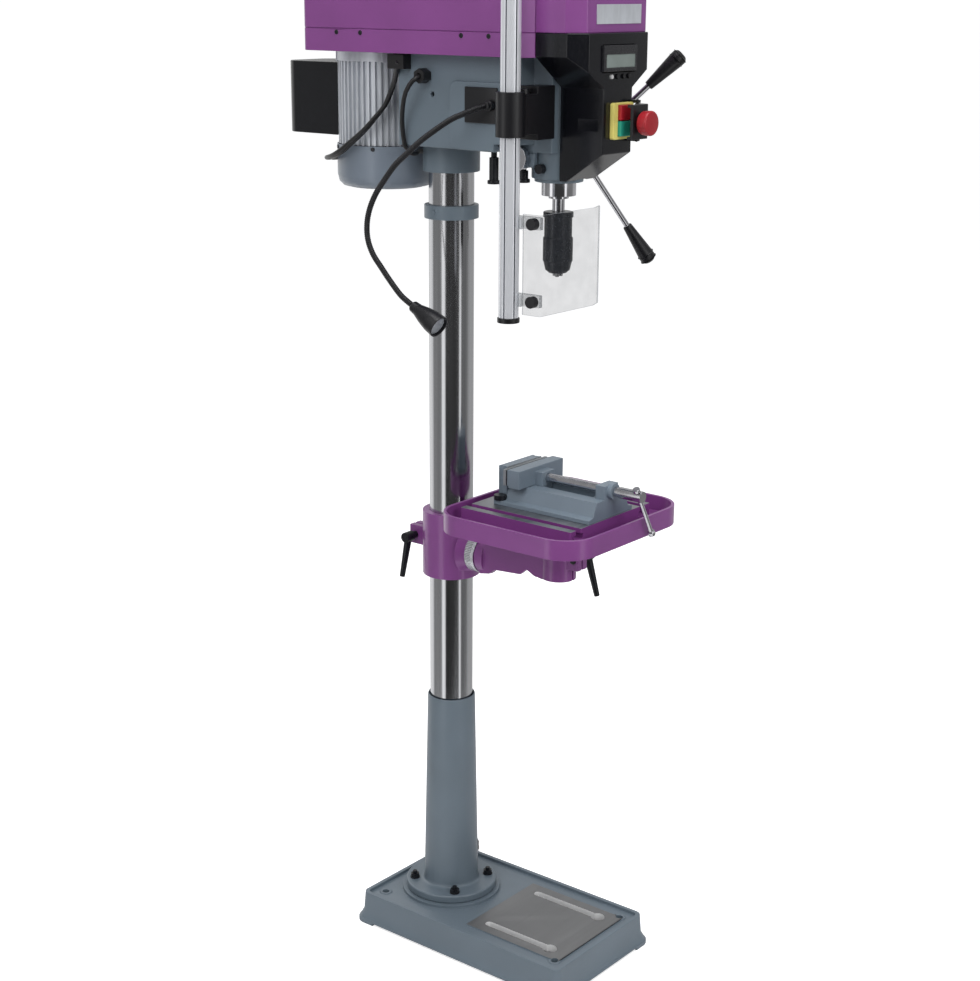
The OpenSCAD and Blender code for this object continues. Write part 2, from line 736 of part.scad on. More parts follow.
module head_casting() {
    color(grey)
    difference() {
        union() {
            difference() {
                translate([0, 0, under_z])
                    linear_extrude(deck_z - under_z)
                        head_plan(0);
                translate([0, 0, under_z + 9])
                    linear_extrude(deck_z - under_z)
                        head_plan(8);
            }
            translate([0, 0, head_z])
                cylinder(r = column_r + 10, h = column_top - head_z + 12);
            translate([0, spin_y, nose_z])
                cylinder(r = quill_r + 12, h = 12);
            translate([0, spin_y, nose_z + 6])
                cylinder(r = quill_r + 17, h = deck_z - nose_z - 8);
            block([-10, spin_y + quill_r + 10, under_z], [10, -column_r - 5, deck_z - 30]);
            pin_x(-55, head_half_w + 7.7, feed_y, feed_z, 18);
            block([-56, feed_y - 30, feed_z - 14], [-46, feed_y + 26, feed_z + 36]);
            pin_x(head_half_w - 1, head_half_w + 7.7, feed_y, feed_z, 28);
            along_x(-pad_x, 1 - head_half_w)
                translate([spin_y + 90, under_z + 56.5])
                    rounded_rect(136, 111, 15);
        }
        translate([0, 0, head_z - 1])
            cylinder(r = column_r + run_gap, h = column_top - head_z + 1);
        translate([0, spin_y, nose_z - 1])
            cylinder(r = quill_r + run_gap, h = deck_z - nose_z - 27);
        translate([0, spin_y, deck_z - 40])
            cylinder(r = 16 + run_gap, h = 50);
        block([-pad_x - 1, feed_y - 35, under_z - 1], [-55, feed_y + 23, feed_z + 23]);
        pin_x(-pad_x - 1, head_half_w + 9, feed_y, feed_z, feed_shaft_r + run_gap);
        pin_x(-14, 14, feed_y, feed_z, feed_pitch_r + feed_add + 1.2);
        pin_x(-pad_x + 0.5, -head_half_w + 14, -35, under_z + 88, 4);
        translate([-60, spin_y + 91, head_z])
            cylinder(r = 5 + run_gap, h = 80);
        translate([-40, spin_y + 44, head_z])
            cylinder(r = 5 + run_gap, h = 24.4);
        pin_x(-quill_r - 30, -quill_r + 5, spin_y, head_z + 22, 4 + run_gap);
    }
}

module head_fittings() {
    color(black) {
        for (p = [[-60, spin_y + 91, 56, -6], [-40, spin_y + 44, 24, -2]])
            translate([p[0], p[1], 0]) {
                translate([0, 0, head_z + p[3]])
                    cylinder(r = 5, h = p[2] - p[3]);
                translate([0, 0, head_z + p[3]])
                    cylinder(r = 8, h = min(36, p[2] - 8) - p[3]);
                translate([0, 0, head_z + p[3] - 2])
                    cylinder(r = 11, h = 6);
            }
        pin_x(-quill_r - 22, -quill_r - 0.4, spin_y, head_z + 22, 4);
        pin_x(-quill_r - 29, -quill_r - 17.4, spin_y, head_z + 22, 8);
    }
    color(alloy)
    pin_x(-69, -56.1, feed_y, feed_z, 22);
}

// Outline of the belt housing, with a margin taken off inside
module pan_plan(d) {
    w = pan_half_w - d;
    r = pan_corner - d;
    y0 = spin_y - 13;
    f = joint_y + d;
    polygon([[-w, y0], [-w, pan_back - pan_corner], [w, pan_back - pan_corner], [w, y0], [cover_half_w - d, f],
        [d - cover_half_w, f]]);
    translate([0, pan_back - pan_corner])
        square([2 * (w - r), 2 * r], center = true);
    for (x = [-1, 1])
        translate([x * (w - r), pan_back - d - r])
            circle(r);
}

lid_hinge_x = pan_half_w + 4.6;

module belt_pan() {
    color(purple)
    difference() {
        union() {
            translate([0, 0, deck_z])
                linear_extrude(pan_h)
                    pan_plan(0);
            for (y = [-150, 120]) {
                block([pan_half_w - 1, y, seam_z - 5], [lid_hinge_x, y + 24, seam_z - 1]);
                pin_y(y, y + 24, lid_hinge_x, seam_z, 4);
                pin_y(y, y + 52, lid_hinge_x, seam_z, 2);
            }
        }
        translate([0, 0, deck_z + sheet])
            linear_extrude(pan_h)
                pan_plan(sheet);
        block([-cover_half_w + 4, joint_y - 5, deck_z + sheet], [cover_half_w - 4, joint_y + 14, seam_z + 1]);
        translate([0, spin_y, deck_z - 1])
            cylinder(r = 24, h = 10);
        translate([0, motor_y, deck_z - 1])
            cylinder(r = 22, h = 10);
    }
    color(steel) {
        translate([0, idler_y, deck_z])
            cylinder(r = 22, h = 10);
        translate([0, idler_y, deck_z])
            cylinder(r = 9, h = lid_top - deck_z - 10);
        for (y = [motor_y, motor_y - 55, spin_y + 109, spin_y + 52])
            pin_x(-pan_half_w - 1.5, 1 - pan_half_w, y, seam_z - 6, 4);
        clip_ring();
    }
}

module clip_ring() {
    translate([112, 95, deck_z - 7])
        rotate([90, 0, 125])
            difference() {
                translate([0, 0, -5])
                    cylinder(r = 7, h = 10);
                translate([0, 0, -6])
                    cylinder(r = cord_d / 2 + 1, h = 12);
            }
}

module belt_lid() {
    low = seam_z + face_gap;
    color(purple)
    difference() {
        union() {
            translate([0, 0, low])
                linear_extrude(lid_top - low)
                    pan_plan(0);
            for (y = [-150, 120]) {
                block([pan_half_w - 1, y + 24.3, seam_z + 1], [lid_hinge_x, y + 52, seam_z + 5]);
                pin_y(y + 24.3, y + 52, lid_hinge_x, seam_z, 4);
            }
        }
        translate([0, 0, low - 1])
            linear_extrude(lid_top - low + 1 - sheet)
                pan_plan(sheet);
        block([4 - cover_half_w, joint_y - 5, low - 1], [cover_half_w - 4, joint_y + 14, lid_top - sheet]);
        for (y = [-150, 120])
            pin_y(y + 20, y + 54, lid_hinge_x, seam_z, 2 + run_gap);
    }
}

// Outline of the front cover and the top of the front housing
module cover_plan(d) {
    w = cover_half_w - d;
    f = front_y + d;
    polygon([[-w, joint_y - 0.3], [-w, f + 25], [25 - w, f], [w - 25, f], [w, f + 25], [w, joint_y - 0.3]]);
}

module front_cover() {
    color(purple)
    difference() {
        translate([0, 5, seam_z + 1])
            linear_extrude(lid_top - seam_z - 1)
                intersection() {
                    cover_plan(0);
                    translate([0, joint_y - 105.5])
                        square([300, 200], center = true);
                }
        translate([0, 5, seam_z])
            linear_extrude(lid_top - seam_z - sheet)
                cover_plan(3);
        block([3 - cover_half_w, joint_y - 20, seam_z], [cover_half_w - 3, joint_y + 10, lid_top - sheet]);
    }
}

module front_housing() {
    neck = 40;
    color(black)
    difference() {
        union() {
            translate([0, 0, deck_z + 2])
                linear_extrude(pan_h - 1)
                    cover_plan(0);
            hull() {
                translate([0, 0, deck_z + 2])
                    linear_extrude(1)
                        cover_plan(0);
                block([25 - cover_half_w, front_y, deck_z - 21], [cover_half_w - 25, front_y + 8, deck_z - 20]);
                block([-neck, front_y, deck_z - 48], [neck, joint_y - 3, deck_z - 47]);
            }
            along_x(-neck, neck)
                polygon([[front_y, deck_z - 47], [front_y, head_z + 51], [front_y + 72, head_z + 3],
                    [joint_y - 3, head_z + 3], [joint_y - 3, deck_z - 47]]);
        }
        along_x(3 - neck, neck - 3)
            polygon([[front_y + 3, deck_z + 30], [front_y + 3, head_z + 52.5], [front_y + 74, head_z + 6],
                [joint_y + 5, head_z + 6], [joint_y + 5, deck_z + 30]]);
        translate([0, 0, deck_z + 5])
            linear_extrude(pan_h - 8)
                cover_plan(3);
        block([-display_half - 0.2, front_y - 1, deck_z - 21.2], [display_half + 0.2, front_y + 3.5, deck_z + 20.2]);
        for (x = key_places)
            pin_y(front_y - 1, front_y + 4, x, deck_z - 29, 3.5 + run_gap);
        for (z = button_heights)
            block([-8, front_y - 1, z - 8], [20, front_y + 4, z + 8]);
        translate([0, spin_y, head_z - 1])
            cylinder(r = quill_r + 17 + face_gap, h = deck_z - head_z);
    }
}

module display() {
    color(black)
    difference() {
        block([-display_half, front_y - 4, deck_z - 21], [display_half, front_y + 3.4, deck_z + 20]);
        block([7 - display_half, front_y - 5, deck_z - 15], [display_half - 5, front_y - 2.5, deck_z + 6]);
    }
    color(alloy)
    block([7.2 - display_half, front_y - 3, deck_z - 14.8], [display_half - 5.2, front_y - 2, deck_z + 5.8]);
}

module display_keys() {
    color(alloy) {
        for (x = key_places)
            pin_y(front_y - 3, front_y + 4.3, x, deck_z - 29, 3.5);
        block([-25, front_y + 4.3, deck_z - 34], [32, front_y + 6.3, deck_z - 24]);
    }
}

module switch_box() {
    color([0.86, 0.80, 0.45])
    difference() {
        translate([5.5, front_y, head_z + 103])
            rotate([90, 0, 0])
                linear_extrude(8)
                    rounded_rect(55, 58, 4);
        for (z = button_heights) {
            block([button_x - button_half - 0.2, front_y - 15, z - 12.2],
                [button_x + button_half + 0.2, front_y - 3, z + 12.2]);
            block([button_x - 8, front_y - 5, z - 6], [button_x + 8, front_y + 1, z + 6]);
        }
    }
    color(steel)
    translate([38, front_y - 12, head_z + 68])
        cylinder(r = 2, h = 68);
    color(black)
    for (z = [head_z + 69, head_z + 130])
        difference() {
            block([33.2, front_y - 16, z], [42, front_y - 0.2, z + 5]);
            translate([38, front_y - 12, z - 1])
                cylinder(r = 2 + run_gap, h = 7);
        }
}

// A push button that slides in the switch plate
module push_button(z) {
    block([button_x - button_half, front_y - 14, z - 12], [button_x + button_half, front_y - 6, z + 12]);
    block([button_x - 7.8, front_y - 7, z - 5.8], [button_x + 7.8, front_y - 1, z + 5.8]);
}

module start_button() {
    color([0.05, 0.50, 0.42])
    push_button(button_heights[0]);
}

module stop_button() {
    color([0.72, 0.10, 0.10])
    push_button(button_heights[1]);
}

module stop_flap() {
    color(black)
    difference() {
        union() {
            block([-8, front_y - 36, head_z + 74.5], [34, front_y - 24, head_z + 129.5]);
            block([30, front_y - 30, head_z + 74.5], [42, front_y - 17, head_z + 129.5]);
            translate([38, front_y - 12, head_z + 74.5])
                cylinder(r = 4, h = 55);
            block([34, front_y - 18, head_z + 74.5], [42, front_y - 12, head_z + 129.5]);
        }
        block([-9, front_y - 30, head_z + 79], [30, front_y - 20, head_z + 125]);
        translate([38, front_y - 12, head_z + 70])
            cylinder(r = 2 + run_gap, h = 70);
        pin_y(front_y - 37, front_y - 23, 11, head_z + 101, 8 + run_gap);
    }
}

module mushroom_button() {
    color([0.72, 0.10, 0.10])
    translate([11, front_y - 28, head_z + 101])
        rotate([90, 0, 0])
            rotate_extrude()
                polygon([[0, -1.5], [10, -1.5], [10, 1.6], [8, 1.6], [8, 12.4], [17, 13], [19, 16], [20, 24],
                    [20, 30], [18.5, 32], [0, 33.5]]);
}

// The ribbed section of the motor
module rib_plan() {
    step = 360 / rib_count;
    polygon([for (k = [0 : rib_count - 1]) each [polar(motor_r - 6, step * k), polar(motor_r - 6, step * (k + 0.5)),
        polar(motor_r, step * (k + 0.58)), polar(motor_r, step * (k + 0.92))]]);
}

module motor_body() {
    color(alloy)
    translate([0, motor_y, 0])
        difference() {
            union() {
                translate([0, 0, body_low])
                    linear_extrude(motor_body_h)
                        rib_plan();
                translate([0, 0, body_top])
                    cylinder(r = motor_r + 2, h = motor_top - body_top - face_gap);
                for (a = [45 : 90 : 315])
                    rotate(a)
                        block([motor_r - 12, -11, body_top - 2], [motor_r + 3, 11, motor_top - face_gap]);
            }
            translate([0, 0, body_low + 10])
                cylinder(r = motor_r - 13, h = motor_body_h - 22);
            translate([0, 0, body_low - 1])
                cylinder(r = 9 + run_gap, h = motor_body_h + 30);
        }
    color([0.55, 0.30, 0.15])
    translate([0, motor_y, body_low + 24])
        difference() {
            cylinder(r = motor_r - 13.2, h = motor_body_h - 50);
            translate([0, 0, -1])
                cylinder(r = 51, h = motor_body_h);
        }
}

module motor_cowl() {
    z = body_low - face_gap;
    low = z - cowl_h;
    r = motor_r + 3;
    color(alloy)
    translate([0, motor_y, 0])
        difference() {
            rotate_extrude()
                polygon([[16, low], [r - 22, low], [r - 10, low + 3], [r - 3, low + 10], [r, low + 22], [r, z],
                    [r - 2.5, z], [r - 2.5, low + 22], [r - 5.5, low + 12], [r - 11, low + 5.5],
                    [r - 22, low + 2.5], [16, low + 2.5]]);
            for (a = [0 : 30 : 330])
                rotate(a)
                    block([24, -4, low - 1], [r - 30, 4, low + 4]);
        }
    color(steel)
    for (a = [25, 145, 206, 325])
        translate([0, motor_y, z - 5])
            rotate([0, 90, a])
                translate([0, 0, r - 4])
                    cylinder(r = 3.5, h = 6);
}

// A stepped pulley for V belts: step radii from the bottom up
module stepped_pulley(steps, hub_r, bore_r) {
    difference() {
        rotate_extrude()
            polygon(concat([[bore_r, 0]], [for (i = [0 : 3]) each [[steps[i] + 3.5, i * step_h],
                [steps[i] + 3.5, i * step_h + 2.5], [steps[i] - 3.5, i * step_h + 6.5],
                [steps[i] - 3.5, i * step_h + 11.5], [steps[i] + 3.5, i * step_h + 15.5],
                [steps[i] + 3.5, i * step_h + 18]]], [[bore_r, 4 * step_h]]));
        translate([0, 0, -1])
            cylinder(r = bore_r, h = 4);
    }
}

module motor_rotor() {
    color(steel)
    translate([0, motor_y, 0]) {
        translate([0, 0, body_low - cowl_h + 10])
            cylinder(r = 9, h = pulley_z - body_low + cowl_h - 9);
        translate([0, 0, body_low + 24])
            cylinder(r = 50, h = motor_body_h - 50);
        translate([0, 0, body_low - 62])
            cylinder(r = 20, h = 34);
        for (a = [0 : 45 : 315])
            rotate(a)
                block([15, -1, body_low - 60], [motor_r - 16, 1, body_low - 30]);
    }
    color(alloy)
    translate([0, motor_y, pulley_z])
        stepped_pulley(motor_steps, 9, 8);
}

module terminal_box() {
    box_y = motor_y + 169;
    color(black)
    difference() {
        translate([0, 0, head_z + 53])
            linear_extrude(127)
                polygon(concat([[-58, motor_y + 60], [58, motor_y + 60]],
                    [for (a = [0 : 15 : 90]) [33 + 25 * cos(a), box_y + 25 * sin(a)]],
                    [for (a = [90 : 15 : 180]) [-33 + 25 * cos(a), box_y + 25 * sin(a)]]));
        translate([0, motor_y, head_z])
            cylinder(r = motor_r + face_gap, h = 300);
        block([-50, motor_y + 94, head_z + 58], [50, box_y, head_z + 175]);
    }
}

module idler_pulley() {
    color(alloy)
    translate([0, idler_y, pulley_z])
        stepped_pulley(idler_steps, 14, 9 + run_gap);
}

module spindle_pulley() {
    color(alloy)
    translate([0, spin_y, 0]) {
        translate([0, 0, pulley_z])
            stepped_pulley(spindle_steps, 16, spindle_r + run_gap);
        difference() {
            translate([0, 0, deck_z - 26])
                cylinder(r = 16, h = pulley_z - deck_z + 27);
            translate([0, 0, deck_z - 30])
                cylinder(r = spindle_r + run_gap, h = 100);
        }
    }
}

// A belt round two pulleys that stand along Y
module belt_loop(y0, r0, y1, r1, z) {
    translate([0, 0, z])
        linear_extrude(7)
            difference() {
                hull() {
                    translate([0, y0])
                        circle(r0 + 4, $fn = hull_fn);
                    translate([0, y1])
                        circle(r1 + 4, $fn = hull_fn);
                }
                hull() {
                    translate([0, y0])
                        circle(r0, $fn = hull_fn);
                    translate([0, y1])
                        circle(r1, $fn = hull_fn);
                }
            }
}

module drive_belts() {
    color(black) {
        belt_loop(spin_y, spindle_steps[1], idler_y, idler_steps[1], pulley_z + step_h + 5.5);
        belt_loop(idler_y, idler_steps[2], motor_y, motor_steps[2], pulley_z + 2 * step_h + 5.5);
    }
}

module quill() {
    z1 = feed_z + quill_stroke + 26;
    teeth = [for (p = rack_points(feed_m, feed_z, head_z + 26, z1 - 2, feed_add)) [feed_pitch_y + p[0], p[1]]];
    root = feed_pitch_y - 1.2 * feed_m;
    z0 = head_z + 24;
    color(steel)
    difference() {
        union() {
            difference() {
                translate([0, spin_y, quill_z])
                    cylinder(r = quill_r, h = quill_l);
                block([-9, root, z0], [9, spin_y + quill_r + 2, z1]);
            }
            along_x(-9, 9)
                polygon(concat([[root - 1, z0]], teeth, [[root - 1, z1]]));
        }
        translate([0, spin_y, quill_z - 1])
            cylinder(r = spindle_r + 1, h = quill_l + 2);
        for (z = [quill_z - 1, quill_z + quill_l - 12])
            translate([0, spin_y, z])
                cylinder(r = 20, h = 13);
    }
}

module quill_bearings() {
    color(alloy)
    for (z = [quill_z, quill_z + quill_l - 12])
        translate([0, spin_y, z])
            difference() {
                cylinder(r = 20, h = 11.7);
                translate([0, 0, -1])
                    cylinder(r = spindle_r + run_gap, h = 20);
            }
}

module spindle() {
    color(steel)
    translate([0, spin_y, 0]) {
        translate([0, 0, quill_z - 2.5])
            cylinder(r = spindle_r, h = pulley_z + 4 * step_h + 5 - quill_z);
        translate([0, 0, chuck_top - 22])
            cylinder(r = spindle_r - 1.5, h = quill_z - chuck_top + 22);
        translate([0, 0, quill_z - 5])
            cylinder(r = 17, h = 4.5);
    }
}

chuck_core = chuck_r - 6.3;

// One jaw's slanting pin, with room added round it
module jaw_pin(a, r, z0, z1) {
    translate([0, spin_y, chuck_z])
        rotate(a)
            translate([5.2, 0, 0])
                rotate([0, 9, 0])
                    translate([0, 0, z0])
                        cylinder(r = r, h = z1 - z0);
}

module chuck_body() {
    color(steel)
    difference() {
        translate([0, spin_y, 0])
            rotate_extrude()
                polygon([[0, chuck_z + 8], [chuck_core - 4, chuck_z + 8], [chuck_core, chuck_z + 12],
                    [chuck_core, chuck_top - 42.2], [chuck_r - 1.8, chuck_top - 42.2], [chuck_r - 1.8, chuck_top - 10],
                    [chuck_r + 0.2, chuck_top - 9], [chuck_r + 0.2, chuck_top - 1], [chuck_r - 0.8, chuck_top],
                    [0, chuck_top]]);
        translate([0, spin_y, chuck_top - 22.3])
            cylinder(r = spindle_r - 1.5 + run_gap, h = 23);
        translate([0, spin_y, chuck_z])
            cylinder(r = 6.6, h = 56);
        for (a = [90, 210, 330])
            jaw_pin(a, 3.62, -2, 68);
    }
}

module chuck_sleeve() {
    color(steel)
    translate([0, spin_y, 0])
        difference() {
            rotate_extrude()
                polygon([[chuck_core + run_gap, chuck_z + 12.5], [chuck_r - 4.5, chuck_z + 12.5],
                    [chuck_r - 2, chuck_z + 24], [chuck_r - 1, chuck_z + 27], [chuck_r, chuck_z + 29],
                    [chuck_r, chuck_top - 44], [chuck_r - 1, chuck_top - 42.5],
                    [chuck_core + run_gap, chuck_top - 42.5]]);
            for (a = [0 : 60 : 300])
                rotate(a)
                    translate([chuck_r + 2.2, 0, chuck_z + 44])
                        cylinder(r = 3, h = 12);
        }
}

module one_jaw(a) {
    color(steel)
    jaw_pin(a, 3.55, 2, 58);
}

module chuck_jaw_a() {
    one_jaw(90);
}

module chuck_jaw_b() {
    one_jaw(210);
}

module chuck_jaw_c() {
    one_jaw(330);
}

hub_x = head_half_w + 8;
lever_angles = [51.5, 171.5, 291.5];
lever_slope = atan2(lever_r - 8, lever_x - hub_x - 14);
lever_run = norm([lever_r - 8, lever_x - hub_x - 14]);

// A round bar along one lever, from s0 to s1
module lever_bar(a, s0, s1, r0, r1) {
    translate([0, feed_y, feed_z])
        rotate([180 - a, 0, 0])
            translate([hub_x + 14, 8, 0])
                rotate([0, 0, lever_slope])
                    rotate([0, 90, 0])
                        translate([0, 0, s0])
                            cylinder(r1 = r0, r2 = r1, h = s1 - s0);
}

module feed_shaft() {
    color(steel)
    pin_x(-54, hub_x + 1, feed_y, feed_z, feed_shaft_r);
    color(steel)
    translate([-8.5, feed_y, feed_z])
        rotate([90, 0, 90])
            linear_extrude(17)
                polygon(gear_points(feed_m, feed_teeth, feed_add, tooth_slack));
    color(grey)
    difference() {
        union() {
            pin_x(hub_x, hub_x + 28, feed_y, feed_z, 24);
            pin_x(hub_x + 27, hub_x + 32, feed_y, feed_z, 18);
        }
        for (a = lever_angles)
            lever_bar(a, 2, 60, 5 + run_gap, 5 + run_gap);
    }
}

module lever_rods() {
    color(steel)
    for (a = lever_angles)
        lever_bar(a, 3, lever_run - 10, 5, 5);
}

module lever_grips() {
    color(black)
    for (a = lever_angles)
        difference() {
            union() {
                lever_bar(a, lever_run - 39, lever_run + 24, 8, 14);
                lever_bar(a, lever_run + 23.9, lever_run + 34, 14, 14);
                lever_bar(a, lever_run + 33.9, lever_run + 39, 14, 9);
            }
            lever_bar(a, lever_run - 50, lever_run - 9, 5 + run_gap, 5 + run_gap);
        }
}

module guard_bracket() {
    z0 = under_z + 32;
    color(black)
    difference() {
        union() {
            translate([guard_x, guard_y, z0])
                cylinder(r = guard_r + 7, h = 71);
            block([guard_x + 8, guard_y - 18, z0 + 3], [37 - head_half_w - face_gap, guard_y + 20, z0 + 66]);
            block([guard_x + 48, guard_y - 18, z0 - 7], [37 - head_half_w - face_gap, guard_y + 20, z0 + 78]);
            translate([guard_x + 34, guard_y, z0 + 60])
                cylinder(r = 9, h = 15);
        }
        translate([guard_x, guard_y, z0 - 1])
            cylinder(r = guard_r + run_gap, h = 80);
    }
}

module guard_tube() {
    color(alloy)
    translate([guard_x, guard_y, guard_z])
        difference() {
            cylinder(r = guard_r, h = guard_l);
            translate([0, 0, -1])
                cylinder(r = guard_r - 3, h = guard_l + 2);
        }
    color(black)
    for (z = [guard_z - 8, guard_z + guard_l + 0.1])
        translate([guard_x, guard_y, z])
            cylinder(r = guard_r + 2, h = 7.9);
}

knob_heights = [shield_z + 24, shield_z + shield_h - 14];

module clear_shield() {
    left = guard_x + 11;
    face = guard_y - 53;
    color([0.80, 0.84, 0.86])
    difference() {
        translate([0, 0, shield_z])
        linear_extrude(shield_h)
            polygon([[left, guard_y - 19], [left, face - shield_t], [10, face - shield_t], [38, face + 7.5],
                [37, face + 10.3], [9.5, face], [left + shield_t, face], [left + shield_t, guard_y - 19]]);
        for (z = knob_heights)
            pin_x(left - 1, left + 5, guard_y - 44, z, 4 + run_gap);
    }
    color(grey)
    for (z = knob_heights)
        difference() {
            union() {
                intersection() {
                    translate([guard_x, guard_y, z - 10])
                        cylinder(r = guard_r + 6, h = 20);
                    block([guard_x + 3, guard_y - 30, z - 11], [guard_x + 30, guard_y - 3, z + 11]);
                }
                block([left + shield_t, face + 1, z - 10], [left + shield_t + 8, guard_y - 4, z + 10]);
            }
            translate([guard_x, guard_y, z - 11])
                cylinder(r = guard_r + run_gap, h = 22);
            pin_x(left - 5, left + 20, guard_y - 44, z, 4 + run_gap);
        }
}

module shield_knobs() {
    color(black)
    for (z = knob_heights) {
        pin_x(guard_x - 2, guard_x + 18, guard_y - 44, z, 4);
        pin_x(guard_x - 2, guard_x + 10.9, guard_y - 44, z, 9.5);
    }
}

NECK = [[-pad_x - 7, -169, 1560], [-125, -161, 1556], [-140, -140, 1546], [-150, -123, 1537], [-160, -99, 1520],
    [-170, -75, 1501], [-178, -54, 1481], [-185, -33, 1461], [-190, -13, 1435], [-195, 3, 1410],
    [-198, 14, 1384], [-200, 18, 1359], [-200, 16, 1334], [-200, 5, 1311], [-200, -13, 1291],
    [-200, -33, 1270], [-200, -55, 1249.5], [-200, -70, 1240.1], [-200, -82, 1234]];
lamp_tip = [-200, -82, 1234];
lamp_tilt = atan2(-61, -31);

module lamp_neck() {
    color(black) {
        block([-pad_x - 4, spin_y + 54, under_z + 46], [-pad_x, spin_y + 122, under_z + 104]);
        pin_x(-pad_x - 14, -pad_x - 3, -169, 1560, 9);
        cord(smooth_path(NECK, 9), neck_d / 2, 12, [0, 0, 1]);
    }
}

module lamp_head() {
    color(black)
    translate(lamp_tip)
        rotate([-lamp_tilt, 0, 0])
            difference() {
                rotate_extrude()
                    polygon([[0, 0.3], [7, 0.3], [9.5, 3], [10.5, 14], [15, 30], [18.5, 48], [19.5, 66], [0, 66]]);
                translate([0, 0, 58])
                    cylinder(r = 17, h = 10);
            }
}

// The held cables: angle and radius about the motor axis, then height
CABLE = [[229, 160, 1624], [229, 144, 1611], [229, 118, 1592], [226.5, 98, 1570], [221, 97, 1548],
    [210.3, 97.2, 1525], [199.7, 97.7, 1504], [186.5, 97.6, 1485], [173.5, 97.6, 1469], [157.6, 97.3, 1457],
    [135, 97.5, 1450], [112, 97.5, 1446], [92, 98, 1446], [77, 99, 1450], [68, 100, 1462], [66, 101, 1476],
    [66, 101, 1488.5]];

module motor_cables() {
    color(black) {
        for (k = [0, 1]) {
            path = [for (c = CABLE) [(c[1] + 10 * k) * cos(c[0]), motor_y + (c[1] + 10 * k) * sin(c[0]), c[2]]];
            cord(smooth_path(path, 16), cord_d / 2, 10, [0, 0, 1]);
        }
        block([-112, 12, 1612], [-head_half_w - 0.1, 48, 1636]);
        difference() {
            pin_x(-head_half_w - 20, -head_half_w - 0.1, -22, head_z + 166, 12.5, $fn = 6);
            pin_x(-head_half_w - 21, -head_half_w, -22, head_z + 166, cord_d / 2 + 0.95);
        }
    }
}

LEAD = [[-head_half_w - 2, -22, 1602], [-111, -22, 1602], [-122, -17, 1594], [-123, -3, 1576], [-117, 9, 1552],
    [-108, 19, 1526], [-101, 23, 1502], [-97, 23, 1484], [-84, 22, 1471], [-62, 28, 1468], [-44, 41, 1468],
    [-24, 52, 1468], [0, 56.2, 1468], [25, 53, 1470], [48, 57, 1476], [62, 62, 1492], [70, 67, 1525],
    [77, 72, 1570], [86, 78, 1604], [98, 86, 1628], [112, 95, 1631.3], [128, 106, 1627], [144, 117, 1612],
    [153, 123, 1588], [156, 125, 1556], [156, 125, 1300], [156, 125, 1000], [156, 125, 700], [156, 125, 400],
    [156, 125, 150], [156.5, 124.8, 70], [159, 123.5, 40], [166, 120.5, 16], [178, 116, 6.2], [187, 113.3, 4.4],
    [195, 113, 4.3]];
coil_at = [203, 163];
coil_out = 50;
coil_step = cord_d + 1;
coil_z = cord_d / 2 + 0.3;
wound = 360 * coil_turns;
coil_in = coil_out - coil_step * coil_turns;
coil_rise = cord_d + 0.8;
COIL_ENDS = [[261, 184, 12], [272, 198, 10.5], [284, 209, 13], [295, 219, 17.3], [302, 224.6, 17.3]];

function coil_r(t) = t < wound ? coil_out - coil_step * t / 360 :
    t < wound + 90 ? coil_in : coil_in + coil_step * (t - wound - 90) / 360;
function coil_h(t) = t < wound ? coil_z : t < wound + 90 ? coil_z + coil_rise * (t - wound) / 90 : coil_z + coil_rise;
function coil_point(t) = [coil_at[0] + coil_r(t) * cos(270 + t), coil_at[1] + coil_r(t) * sin(270 + t), coil_h(t)];
wound_part = [for (t = [0 : 15 : 2 * wound + 90]) coil_point(t)];
last_loop = wound_part[len(wound_part) - 1];
COIL = concat([[coil_at[0] - 8, coil_at[1] - coil_out, coil_z]], wound_part,
    [last_loop + [0, 5, 0], last_loop + [1, 11, 0]], COIL_ENDS);

coil_gap = min([for (i = [0 : len(COIL) - 1]) for (j = [i + 5 : 1 : len(COIL) - 1])
    norm(COIL[i] - COIL[j])]) - cord_d;
echo(coil_gap = coil_gap);

module mains_lead() {
    short_part = smooth_path([for (i = [0 : 24]) LEAD[i]], 14);
    low_part = smooth_path([for (i = [29 : len(LEAD) - 1]) LEAD[i]], 14);
    color(black)
    cord(concat(short_part, [LEAD[25], LEAD[26], LEAD[27], LEAD[28]], low_part), cord_d / 2, 8, [0, 0, 1]);
}

module mains_coil() {
    color(black)
    cord(COIL, cord_d / 2, 6, [0, 0, 1]);
}

plug_at = [302, 224.6, 17.3];

module mains_plug() {
    color(black)
    translate(plug_at)
        rotate([0, 90, 38.7])
            translate([0, 0, 0.3]) {
                rotate_extrude()
                    polygon([[0, 0], [6, 0], [8, 12], [17, 18], [17, 40], [15, 42], [0, 42]]);
            }
    color(steel)
    translate(plug_at)
        rotate([0, 90, 38.7])
            for (y = [-9.5, 9.5])
                translate([0, y, 42])
                    cylinder(r = 2.4, h = 19);
}

base();
column_foot();
foot_bolts();
column();
rack();
rack_ring();
table_bracket();
tilt_bolt();
bracket_lock_lever();
crank();
crank_knob();
table_arm();
table();
table_lock_lever();
vise_body();
vise_bolts();
vise_jaw();
vise_screw();
vise_bar();
head_casting();
belt_pan();
belt_lid();
front_cover();
front_housing();
display();
display_keys();
switch_box();
start_button();
stop_button();
stop_flap();
mushroom_button();
motor_body();
motor_cowl();
motor_rotor();
terminal_box();
idler_pulley();
spindle_pulley();
drive_belts();
quill();
quill_bearings();
spindle();
chuck_body();
chuck_sleeve();
chuck_jaw_a();
chuck_jaw_b();
chuck_jaw_c();
feed_shaft();
lever_rods();
lever_grips();
head_fittings();
guard_bracket();
guard_tube();
clear_shield();
shield_knobs();
lamp_neck();
lamp_head();
motor_cables();
mains_lead();
mains_coil();
mains_plug();
